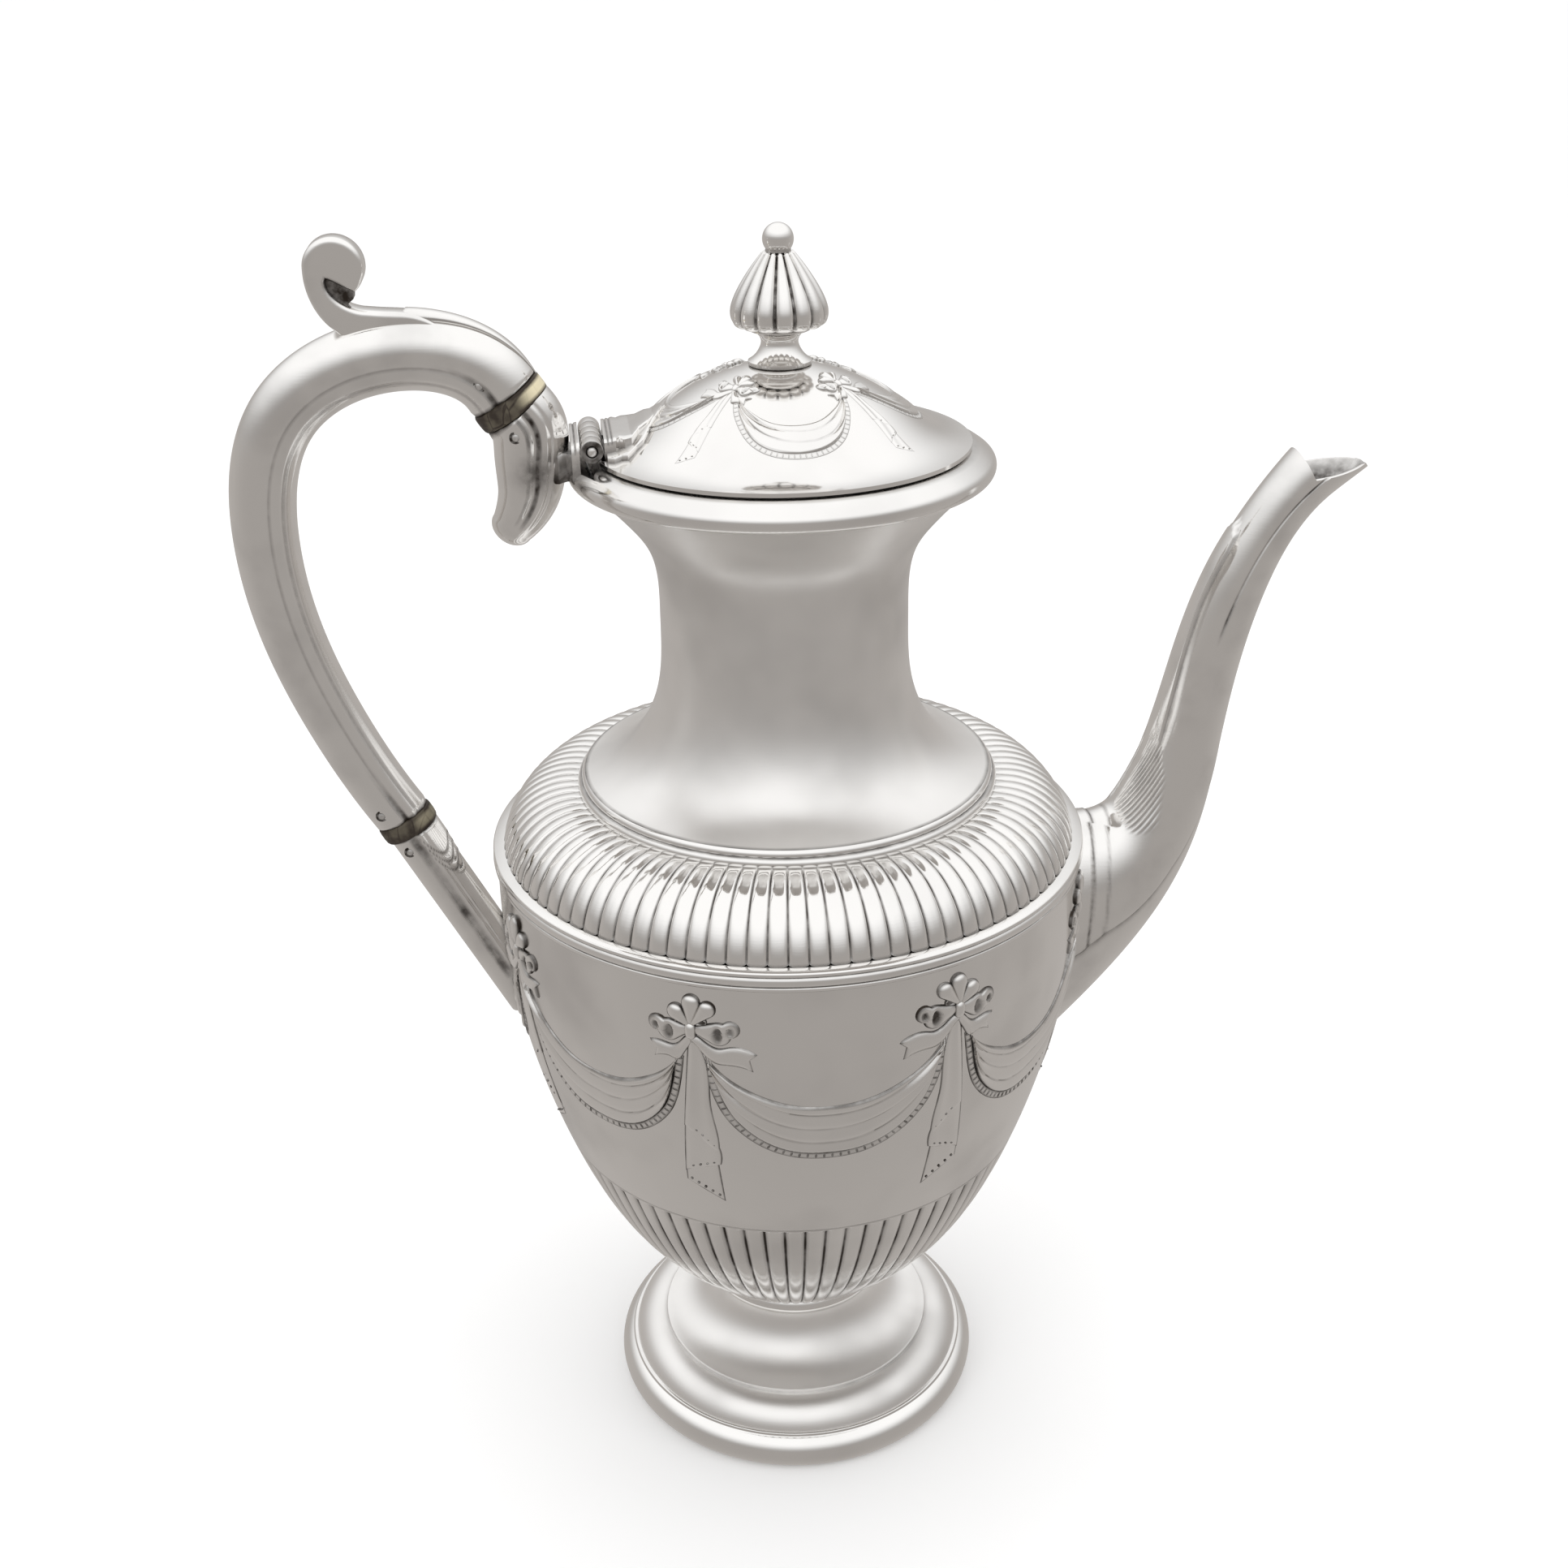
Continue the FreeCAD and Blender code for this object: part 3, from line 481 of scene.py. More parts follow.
class Group:
    """A node group that is built on first use."""

    name = ""
    kind = "ShaderNodeTree"
    inputs: Mapping[str, str] = {}
    outputs: Mapping[str, str] = {}

    def __init__(self, tree: bpy.types.NodeTree) -> None:
        """Starts to write in a tree."""
        self.write = TreeWriter(tree)
        self.given = self.write.node("NodeGroupInput").outputs

    @classmethod
    def tree(cls) -> bpy.types.NodeTree:
        """Finds or builds the group.

        Returns:
            Its tree.
        """
        found = bpy.data.node_groups.get(cls.name)
        if found:
            return found
        tree = bpy.data.node_groups.new(cls.name, cls.kind)
        for way, sockets in (("INPUT", cls.inputs), ("OUTPUT", cls.outputs)):
            for label, kind in sockets.items():
                tree.interface.new_socket(label, in_out=way, socket_type=f"NodeSocket{kind}")
        cls(tree).fill()
        return tree

    def fill(self) -> None:
        """Writes the group's nodes, which each kind of group has its own of."""
        raise NotImplementedError


class Fluting(Group):
    """Flutes or lobes worked into a turned form."""

    name = "fluting"
    kind = "GeometryNodeTree"
    inputs = {
        "Geometry": "Geometry",
        **dict.fromkeys(("Count", "Depth", "Roundness", "Line", "Low", "High", "Fade"), "Float"),
        "Material": "Material",
    }
    outputs = {"Geometry": "Geometry"}
    whole_turns = 1000.0

    def fill(self) -> None:
        """Sinks the face between the flutes and marks the grooves."""
        write, given = self.write, self.given
        here = write.node("GeometryNodeInputPosition").outputs[0]
        x, y, height = write.node("ShaderNodeSeparateXYZ", {0: here}).outputs
        turns = write.work("DIVIDE", write.times(write.work("ARCTAN2", y, x), given["Count"]), TURN)
        share = write.work("FRACT", write.work("ADD", turns, self.whole_turns))
        side = write.times(write.work("ABSOLUTE", write.work("SUBTRACT", share, 0.5)), 2.0)
        rise = write.ramp(height, write.work("SUBTRACT", given["Low"], given["Fade"]), given["Low"])
        fall = write.ramp(height, given["High"], write.work("ADD", given["High"], given["Fade"]), 1.0, 0.0)
        mask = write.times(rise, fall, write.carried("fluted"))
        sink = write.times(write.work("POWER", side, given["Roundness"]), given["Depth"], mask, -1.0)
        normal = write.node("GeometryNodeInputNormal").outputs[0]
        move = write.node("ShaderNodeVectorMath", {0: normal, "Scale": sink}, operation="SCALE")
        dark = write.times(write.ramp(side, write.work("SUBTRACT", 1.0, given["Line"]), 1.0), mask)
        marks = write.work("MAXIMUM", dark, write.carried("groove"))
        stored = write.node(
            "GeometryNodeStoreNamedAttribute",
            {"Geometry": given["Geometry"], "Name": "groove", "Value": marks},
            data_type="FLOAT",
            domain="POINT",
        )
        feeds = {"Geometry": stored.outputs[0], "Offset": move.outputs[0]}
        write.end_geometry(write.node("GeometryNodeSetPosition", feeds).outputs[0], given["Material"])


class Setting(Group):
    """One small shape set in many places."""

    name = "setting"
    kind = "GeometryNodeTree"
    inputs = {"Geometry": "Geometry", "Shape": "Object", "Size": "Float", "Material": "Material"}
    outputs = {"Geometry": "Geometry"}

    def fill(self) -> None:
        """Sets the shape on each point, turned by the point's two directions."""
        write, given = self.write, self.given
        shape = write.node("GeometryNodeObjectInfo", {"Object": given["Shape"]}, transform_space="ORIGINAL")
        spots = write.node("GeometryNodeMeshToPoints", {"Mesh": given["Geometry"]})
        turn: dict[str, Socket] = {}
        for label, axis, pivot in (("out", "Z", "AUTO"), ("along", "X", "Z")):
            feeds = {"Vector": write.carried(label, "FLOAT_VECTOR"), **turn}
            aligned = write.node("FunctionNodeAlignRotationToVector", feeds, axis=axis, pivot_axis=pivot)
            turn = {"Rotation": aligned.outputs[0]}
        feeds = {"Points": spots.outputs[0], "Instance": shape.outputs["Geometry"], "Scale": given["Size"]}
        copies = write.node("GeometryNodeInstanceOnPoints", {**feeds, **turn})
        write.end_geometry(copies.outputs[0], given["Material"])


def worked(piece: Piece, tree: bpy.types.NodeTree, **values: object) -> Piece:
    """Runs a geometry tree on a piece and keeps the result as a plain mesh.

    Args:
        piece: The piece to work.
        tree: The geometry tree.
        values: A value for each named input.

    Returns:
        The same piece with its new mesh.
    """
    modifier = piece.modifiers.new("work", "NODES")
    modifier.node_group = tree
    for item in tree.interface.items_tree:
        if item.item_type == "SOCKET" and item.in_out == "INPUT" and item.name in values:
            modifier[item.identifier] = values[item.name]
    graph = bpy.context.evaluated_depsgraph_get()
    mesh = bpy.data.meshes.new_from_object(
        piece.evaluated_get(graph), preserve_all_data_layers=True, depsgraph=graph
    )
    piece.modifiers.clear()
    piece.data = mesh
    return piece


# Finishes


class PatinaAndShade(Group):
    """Dark from the groove marks, patina and painted shade in creases and recesses, with cloudy patina."""

    name = "patina_and_painted_shade"
    inputs = {"Place": "Vector", "Groove": "Float", "Bloom": "Float", "Scale": "Float"}
    outputs = {"Mask": "Float"}
    finer = 6.0
    least_dark = 0.62
    mottle = 0.45

    def fill(self) -> None:
        """Adds the uneven dark of the groove marks, patina and painted shade, to a cloudy patina haze."""
        write, given = self.write, self.given
        grain = write.noise(given["Place"], write.times(given["Scale"], self.finer), 4.0)
        uneven = write.work("ADD", write.times(write.ramp(grain, 0.25, 0.7), self.mottle), self.least_dark)
        cloud = write.ramp(write.noise(given["Place"], given["Scale"], 3.0), 0.42, 0.8)
        deep, haze = write.times(given["Groove"], uneven), write.times(cloud, given["Bloom"])
        total = write.work("MINIMUM", write.work("ADD", deep, haze), 1.0)
        write.node("NodeGroupOutput", {0: total})


class Handling(Group):
    """Fine polishing lines and soft dents from long use."""

    name = "handling"
    inputs = {"Place": "Vector", "Dents": "Float", "Scratches": "Float"}
    outputs = {"Smudge": "Float", "Height": "Float"}
    dent_scale = 90.0
    smudge_scale = 55.0
    line_scale = (260.0, 260.0, 3200.0)
    line_lean = (0.4, 0.25, 0.0)

    def fill(self) -> None:
        """Mixes dents with long scratches, and clouds the polish."""
        write, given = self.write, self.given
        here = given["Place"]
        feeds = {"Vector": here, "Scale": self.line_scale, "Rotation": self.line_lean}
        lines = write.noise(write.node("ShaderNodeMapping", feeds).outputs[0], 1.0, 2.0)
        dents = write.times(write.noise(here, self.dent_scale, 1.0), given["Dents"])
        height = write.work("ADD", dents, write.times(lines, given["Scratches"]))
        smudge = write.ramp(write.noise(here, self.smudge_scale, 4.0), 0.35, 0.75)
        write.node("NodeGroupOutput", {0: smudge, 1: height})


@dataclass(frozen=True)
class Finish:
    """A finish and the slot it is meant for, made a material on first use."""

    name: str
    slot: Slot

    def material(self) -> bpy.types.Material:
        """Finds or builds the material.

        Returns:
            The material.
        """
        found = bpy.data.materials.get(self.name)
        if found:
            return found
        made = bpy.data.materials.new(self.name)
        made.use_nodes = True
        made.node_tree.nodes.clear()
        write = TreeWriter(made.node_tree)
        here = write.node("ShaderNodeTexCoord").outputs["Object"]
        shader = write.node("ShaderNodeBsdfPrincipled", self.looks(write, here))
        write.node("ShaderNodeOutputMaterial", {0: shader.outputs[0]})
        return made

    def looks(self, write: TreeWriter, here: Socket) -> Feeds:
        """What feeds the shader, which each kind of finish has its own of."""
        raise NotImplementedError


@dataclass(frozen=True)
class Silver(Finish):
    """A silver finish: its polish and how far it has darkened."""

    bright: tuple[float, float, float] = (0.9, 0.886, 0.868)
    dark: tuple[float, float, float] = (0.05, 0.04, 0.033)
    polish: float = 0.08
    smear: float = 0.06
    bloom: float = 0.1
    cloud: float = 45.0
    dents: float = 0.5
    scratches: float = 0.08
    crisp: float = 0.0
    dulled: float = 0.45
    dent_strength: float = 0.35
    dent_depth: float = 0.0002

    def looks(self, write: TreeWriter, here: Socket) -> Feeds:
        """Patina and painted shade over polished silver, with the marks of handling.

        Args:
            write: The material's writer.
            here: The place on the object.

        Returns:
            What feeds the shader.
        """
        # The groove marks darken the colour: patina, and painted shade in creases and recesses.
        feeds = {"Place": here, "Groove": write.mark("groove"), "Bloom": self.bloom, "Scale": self.cloud}
        mask = write.node("ShaderNodeGroup", feeds, node_tree=PatinaAndShade.tree()).outputs["Mask"]
        feeds = {"Place": here, "Dents": self.dents, "Scratches": self.scratches}
        smudge, height = write.node("ShaderNodeGroup", feeds, node_tree=Handling.tree()).outputs
        plain = write.work("MULTIPLY_ADD", write.mark("fluted"), -self.crisp * self.polish, self.polish)
        rough_where_darkened = write.work("MULTIPLY_ADD", mask, self.dulled, plain)
        feeds = {"Strength": self.dent_strength, "Distance": self.dent_depth, "Height": height}
        return {
            "Metallic": 1.0,
            "Base Color": write.blend(mask, self.bright, self.dark),
            "Roughness": write.work("ADD", rough_where_darkened, write.times(smudge, self.smear)),
            "Normal": write.node("ShaderNodeBump", feeds).outputs[0],
        }


@dataclass(frozen=True)
class Bone(Finish):
    """Old bone or ivory, stained where hands and heat have darkened it."""

    pale: tuple[float, float, float] = (0.71, 0.64, 0.45)
    stain: tuple[float, float, float] = (0.028, 0.02, 0.014)
    crack: float = 300.0
    crack_width: float = 0.04
    crack_depth: float = 0.0003
    cloud: float = 260.0
    stretch: tuple[float, float, float] = (1.0, 1.0, 0.25)

    def looks(self, write: TreeWriter, here: Socket) -> Feeds:
        """Pale bone with fine cracks and stain.

        Args:
            write: The material's writer.
            here: The place on the object.

        Returns:
            What feeds the shader.
        """
        long = write.node("ShaderNodeMapping", {"Vector": here, "Scale": self.stretch}).outputs[0]
        feeds = {"Vector": long, "Scale": self.crack}
        cells = write.node("ShaderNodeTexVoronoi", feeds, feature="DISTANCE_TO_EDGE")
        cracks = write.ramp(cells.outputs["Distance"], 0.0, self.crack_width, 0.07, 0.0)
        cloud = write.ramp(write.noise(here, self.cloud, 3.0), 0.3, 0.75, 0.92, 1.06)
        stained = write.work("MULTIPLY_ADD", write.mark("groove"), cloud, cracks)
        mask = write.work("MINIMUM", stained, 1.0)
        feeds = {"Strength": 0.4, "Distance": self.crack_depth, "Height": cracks}
        return {
            "Specular IOR Level": 0.3,
            "Base Color": write.blend(mask, self.pale, self.stain),
            "Roughness": write.work("MULTIPLY_ADD", mask, 0.25, 0.28),
            "Normal": write.node("ShaderNodeBump", feeds, invert=True).outputs[0],
        }


RAISED = Silver(
    "raised_silver_satin", Slot.RAISED, polish=0.31, smear=0.08, bloom=0.24, cloud=30.0, crisp=0.72
)
CHASED = Silver("raised_silver_bright", Slot.RAISED, polish=0.07, smear=0.06, bloom=0.08)
CAST = Silver("cast_silver_worn", Slot.CAST, polish=0.07, bloom=0.14, cloud=90.0, dents=0.8)
PINS = Silver("silver_pin_worn", Slot.PINS, polish=0.2, bloom=0.3, cloud=260.0)
BONE = Bone("old_bone", Slot.BONE)


def place(piece: Piece, body: Body, finish: Finish, *nodes: str) -> None:
    """Dresses a piece and ties it to the part.

    Args:
        piece: The finished piece.
        body: The body it moves with.
        finish: Its finish.
        nodes: The solids it stands for.
    """
    piece.data.materials.clear()
    piece.data.materials.append(finish.material())
    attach(piece, body.value)
    if nodes:
        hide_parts(*nodes)
    LOG.info("%s: %d faces on %s", piece.name, len(piece.data.polygons), body.value)


def set_in_places(name: str, shape: Piece, spots: Pairs, out: Pairs, along: Pairs, finish: Finish) -> Piece:
    """Sets copies of one shape at spots.

    Args:
        name: The piece's name.
        shape: The shape, drawn about the origin. It is removed afterwards.
        spots: Where the copies go, in millimetres.
        out: The way each copy's top faces, or one way for all.
        along: The way each copy's length runs, or one way for all.
        finish: Their finish.

    Returns:
        One piece with all the copies.
    """
    mesh = bpy.data.meshes.new(name)
    mesh.from_pydata((np.asarray(spots) * MM).tolist(), [], [])
    for label, values in (("out", out), ("along", along)):
        mark = mesh.attributes.new(label, "FLOAT_VECTOR", "POINT")
        ways = np.broadcast_to(np.asarray(values, np.float32), (len(spots), 3))
        mark.data.foreach_set("vector", ways.reshape(-1))
    piece = worked(linked(name, mesh), Setting.tree(), Shape=shape, Size=1.0, Material=finish.material())
    bpy.data.objects.remove(shape)
    return piece


# The turned body


@dataclass(frozen=True)
class Flutes:
    """One ring of flutes or lobes on a turned form."""

    count: int
    depth: float
    roundness: float
    line: float
    low: float
    high: float
    fade: float
    columns: tuple = (0.0, 0.035, 0.09, 0.22, 0.4, 0.6, 0.78, 0.91, 0.965)

    def angles(self) -> Array:
        """The columns round the form, which crowd beside each groove."""
        return ((np.arange(self.count)[:, None] + np.array(self.columns)) * TURN / self.count).reshape(-1)

    def work(self, piece: Piece, finish: Finish) -> Piece:
        """Works the flutes into a turned piece."""
        return worked(
            piece,
            Fluting.tree(),
            Count=float(self.count),
            Depth=self.depth * MM,
            Roundness=self.roundness,
            Line=self.line,
            Low=self.low * MM,
            High=self.high * MM,
            Fade=self.fade * MM,
            Material=finish.material(),
        )


@dataclass
class Foot:
    """The foot: a half-round rim, a stepped dish and the knop under the bowl."""

    rest_radius: float = 39.0
    rim_radius: float = 40.8
    rim_height: float = 8.0
    rim_crown: tuple = (38.1, 7.4)
    rim_shade: float = 0.12
    seat_radius: float = 35.1
    dish_radius: float = 37.3
    step: tuple = (30.2, 12.4)
    tread: tuple = (28.6, 13.2)
    tread_under: tuple = (27.7, 11.5)
    step_shade: float = 0.25
    crease_width: float = 0.35
    stem_radius: float = 18.0
    stem_height: float = 24.0
    knop_proud: float = 1.8
    knop_bore: float = 16.4
    top: float = 29.0

    def rim(self) -> None:
        """Turns the rim that stands on the table."""
        side, crown = self.rim_crown
        loop = joined(
            [(self.seat_radius, 0.2), (self.rest_radius - 1.0, 0.0)],
            arc((self.rest_radius, 0), (self.rim_radius, self.rim_height / 2), self.rim_crown, 26),
            [(side, self.rim_height), (self.seat_radius, self.rim_height)],
        )
        loop = eased(loop, 0.35)
        groove = self.rim_shade * step_up(loop[:, 1], crown, self.rim_height - 0.1)
        turned(loop, ROUND, groove).place("foot_rim_ring", Body.POT, CHASED, "foot_rim")

    def dish(self) -> None:
        """Turns the raised dish with its ovolo, step and hollow stem."""
        radius, height = self.step
        outer = joined(
            quarter((self.dish_radius, self.rim_height), self.step, ROUNDED, 24),
            [(radius, self.tread[1]), self.tread],
            quarter(self.tread, (self.stem_radius, self.stem_height), HOLLOW, 30),
        )
        inner = joined(
            quarter((self.dish_radius - SHEET, self.rim_height), self.tread_under, ROUNDED, 16),
            quarter(self.tread_under, (self.stem_radius - SHEET, self.stem_height), HOLLOW, 20),
        )
        loop = joined(eased(outer, 0.25, closed=False), inner[::-1])
        aside, above = loop[:, 0] - radius, loop[:, 1] - height - 0.1
        crease = hump(np.hypot(aside, above), 0.0, self.crease_width)
        turned(loop, ROUND, self.step_shade * crease).place("foot_dish", Body.POT, RAISED, "foot")

    def knop(self) -> None:
        """Turns the small ring between the foot and the bowl."""
        radius, low, high = self.stem_radius, self.stem_height, self.top
        middle = (low + high) / 2
        loop = joined(
            arc((radius, low), (radius + self.knop_proud, middle), (radius, high), 24),
            [(self.knop_bore, high), (self.knop_bore, low)],
        )
        away = np.abs(loop[:, 1] - middle) / (high - low) * 2
        turned(loop, 192, step_up(away, 0.8, 1.0)).place("knop_ring", Body.POT, CHASED, "knop")

    def build(self) -> None:
        """Builds and dresses the foot."""
        self.rim()
        self.dish()
        self.knop()


BOWL_LINE = ((20.0, 29.0), (37.2, 46.0), (50.0, 72.5), (57.9, 104.0), (59.5, 134.0))
LID_LINE = ((35.7, 218.4), (29.5, 219.9), (24.0, 223.8), (14.5, 229.6), (6.0, 232.4))


@dataclass
class Bowl:
    """The raised bowl, fluted round its lower part, with the girdle and the fluted shoulder above it."""

    flutes: Flutes = Flutes(76, 0.62, roundness=3.2, line=0.27, low=31.0, high=72.6, fade=0.25)
    shoulder_flutes: Flutes = Flutes(96, 0.6, roundness=4.5, line=0.16, low=138.2, high=150.8, fade=0.2)
    base: float = 29.0
    floor_radius: float = 10.0
    inner_base: tuple = (19.1, 29.9)
    inner_top: tuple = (58.6, 134.0)
    line_height: float = 73.3
    line_width: float = 0.22
    line_depth: float = 0.12
    line_shade: float = 0.35
    girdle_bore: float = 57.1
    girdle_base: float = 134.0
    girdle_top: float = 138.2
    girdle_lines: tuple = (134.0, 135.1, 137.2)
    girdle_shade: float = 0.75
    shoulder_radius: float = 58.0
    collar_radius: float = 42.2
    shoulder_top: float = 149.8

    def bowl(self) -> None:
        """Turns the bowl and works its flutes and the fine line above them."""
        fine = smooth_line(BOWL_LINE, 900)
        runs = ((self.base, 71.4, 40), (71.8, 74.2, 13), (75.5, self.girdle_base, 26))
        heights = np.concatenate([np.linspace(*run) for run in runs])
        line = hump(heights, self.line_height, self.line_width)
        outer = np.stack([np.interp(heights, fine[:, 1], fine[:, 0]) - self.line_depth * line, heights], -1)
        inner = offset_line(fine[::45], SHEET)
        inner[0], inner[-1] = self.inner_base, self.inner_top
        floor = np.array([(0, self.base), (self.floor_radius, self.base)])
        profile = joined(floor, outer, inner[::-1], floor[::-1] + (0, SHEET))
        wall = slice(len(floor), len(floor) + len(outer))
        groove = np.zeros(len(profile))
        groove[wall] = self.line_shade * line
        mark = np.zeros(len(profile))
        mark[wall] = 1.0
        mark[len(floor)] = 0.0
        piece = turned(profile, self.flutes.angles(), groove, mark).make("bowl_wall", 80)
        place(self.flutes.work(piece, RAISED), Body.POT, RAISED, "bowl")

    def girdle(self) -> None:
        """Turns the ledge that runs round the widest part."""
        loop = joined(
            [(self.girdle_bore, self.girdle_base), (59.4, self.girdle_base)],
            arc((59.4, 134.05), (59.95, 134.6), (59.55, 135.1), 8),
            arc((59.55, 135.1), (60.3, 136.2), (59.75, 137.2), 10),
            arc((59.75, 137.2), (60.2, 137.7), (59.9, self.girdle_top), 8),
            [(self.girdle_bore, self.girdle_top)],
        )
        lines = sum(hump(loop[:, 1], height, 0.16) for height in self.girdle_lines) * (loop[:, 0] > 59)
        draft = turned(loop, 320, self.girdle_shade * np.clip(lines, 0, 1))
        draft.place("girdle_ring", Body.POT, CHASED, "girdle")

    def shoulder(self) -> None:
        """Turns the rounded shoulder and works its ring of flutes."""
        low, high = self.girdle_top, self.shoulder_top
        outer = quarter((self.shoulder_radius, low), (self.collar_radius, high), ROUNDED, 34)
        inner = quarter((self.girdle_bore, low), (self.collar_radius, high - SHEET), ROUNDED, 14)
        loop = joined(outer, inner[::-1])
        mark = np.zeros(len(loop))
        mark[: len(outer)] = np.clip(np.linspace(12.0, 0.0, len(outer)), 0, 1)
        groove = np.zeros(len(loop))
        groove[0] = 0.6
        piece = turned(loop, self.shoulder_flutes.angles(), groove, mark).make("shoulder_flutes", 80)
        place(self.shoulder_flutes.work(piece, CHASED), Body.POT, CHASED, "shoulder")

    def build(self) -> None:
        """Builds and dresses the bowl, the girdle and the shoulder."""
        self.bowl()
        self.girdle()
        self.shoulder()


def bowl_radius(height: Array) -> Array:
    """Outer radius of the bowl, girdle and shoulder.

    Args:
        height: The heights to read.

    Returns:
        The radius at each height.
    """
    parts = Bowl()
    line = smooth_line(BOWL_LINE, 400)
    radius = np.interp(height, line[:, 1], line[:, 0])
    radius = np.where(height > parts.girdle_base, 60.2, radius)
    above = height - parts.girdle_top
    return np.where(above > 0, parts.shoulder_radius - 1.4 * above, radius)


@dataclass
class Neck:
    """The waisted neck between its collar and the moulded rim of the mouth."""

    line: tuple = (
        *((40.75, 152.7), (31.2, 157.8), (25.4, 169.0), (24.2, 184.5)),
        *((26.0, 198.9), (30.4, 205.1), (37.3, 212.0)),
    )
    collar_base: float = 148.9
    collar_radius: float = 42.2
    collar_low: float = 149.8
    collar_waist: tuple = (41.35, 151.4)
    seam_shade: float = 0.7
    mouth_radius: float = 34.0
    mouth_base: float = 212.0
    ledge: float = 217.2
    ledge_shade: float = 0.3

    def collar(self) -> None:
        """Turns the moulded ring at the foot of the neck."""
        foot = self.line[0]
        loop = joined(
            [(foot[0], self.collar_base), (self.collar_radius, self.collar_base)],
            arc((self.collar_radius, self.collar_low), (42.05, 150.9), self.collar_waist, 10),
            quarter(self.collar_waist, foot, ROUNDED, 10),
        )
        line = hump(loop[:, 1], self.collar_waist[1], 0.2) + hump(loop[:, 1], self.collar_low - 0.2, 0.3)
        draft = turned(loop, ROUND, self.seam_shade * np.clip(line, 0, 1))
        draft.place("neck_collar_ring", Body.POT, CHASED, "neck_collar")

    def neck(self) -> None:
        """Turns the neck's wall."""
        outer = smooth_line(self.line, 90)
        inner = offset_line(smooth_line(self.line, 50), SHEET)
        inner[0] = self.line[0][0], self.line[0][1] - SHEET
        inner[-1] = self.line[-1][0] - SHEET, self.line[-1][1]
        loop = joined(outer, inner[::-1])
        groove = np.zeros(len(loop))
        groove[[0, len(outer) - 1]] = self.seam_shade
        turned(loop, ROUND, groove).place("neck_wall", Body.POT, RAISED, "neck")

    def rim(self) -> None:
        """Turns the rim with its bulge, slope and lid ledge."""
        loop = joined(
            arc((38.3, self.mouth_base), (40.3, 214.1), (39.4, 215.7), 22),
            [(38.6, 216.25), (37.3, 216.8), (36.2, self.ledge)],
            [(self.mouth_radius, self.ledge), (self.mouth_radius, self.mouth_base)],
        )
        loop = eased(loop, 0.3)
        inside = step_up(-loop[:, 0], -37.0, -36.0)
        turned(loop, ROUND, self.ledge_shade * inside).place("mouth_rim_ring", Body.POT, CHASED, "mouth_rim")

    def build(self) -> None:
        """Builds and dresses the neck."""
        self.collar()
        self.neck()
        self.rim()


# The lid and its finial


@dataclass
class Lid:
    """The domed lid with its bezel, cut back round the hinge."""

    edge_radius: float = 35.7
    seat: float = 217.5
    seat_bore: float = 32.8
    crown: float = 232.4
    notch_reach: float = 33.15
    notch_half: float = 9.6
    bezel_radius: float = 33.3
    bezel_low: float = 213.2
    bezel_shade: float = 0.3

    def dome(self) -> None:
        """Turns the dome and cuts the notch that clears the hinge barrel."""
        inner = offset_line(smooth_line(LID_LINE, 40), SHEET)
        inner[0] = self.seat_bore, self.seat
        inner[-1] = LID_LINE[-1][0], self.crown - SHEET
        profile = joined(
            [(0, self.crown)],
            smooth_line(LID_LINE, 70)[::-1],
            [(self.edge_radius, self.seat + 0.15), (self.edge_radius - 0.2, self.seat)],
            inner,
            [(0, self.crown - SHEET)],
        )
        draft = turned(profile, 480)
        points = draft.points[0]
        beside = (points[:, 0] < -self.notch_reach) & (np.abs(points[:, 1]) < self.notch_half)
        points[beside, 0] = -self.notch_reach
        draft.place("lid_dome_shell", Body.LID, CHASED, "lid_dome")

    def bezel(self) -> None:
        """Turns the ring that drops into the mouth."""
        outer, inner = self.bezel_radius, self.bezel_radius - SHEET
        corners = ((outer, self.bezel_low), (outer, self.seat), (inner, self.seat), (inner, self.bezel_low))
        draft = turned(eased(corners, 0.2), 192, self.bezel_shade)
        draft.place("lid_bezel_ring", Body.LID, CHASED, "lid_bezel")

    def build(self) -> None:
        """Builds and dresses the lid, and dresses the stud and nut under it."""
        self.dome()
        self.bezel()
        for node in ("finial_stud", "finial_nut"):
            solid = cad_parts[node]
            solid.data.materials.clear()
            solid.data.materials.append(PINS.material())


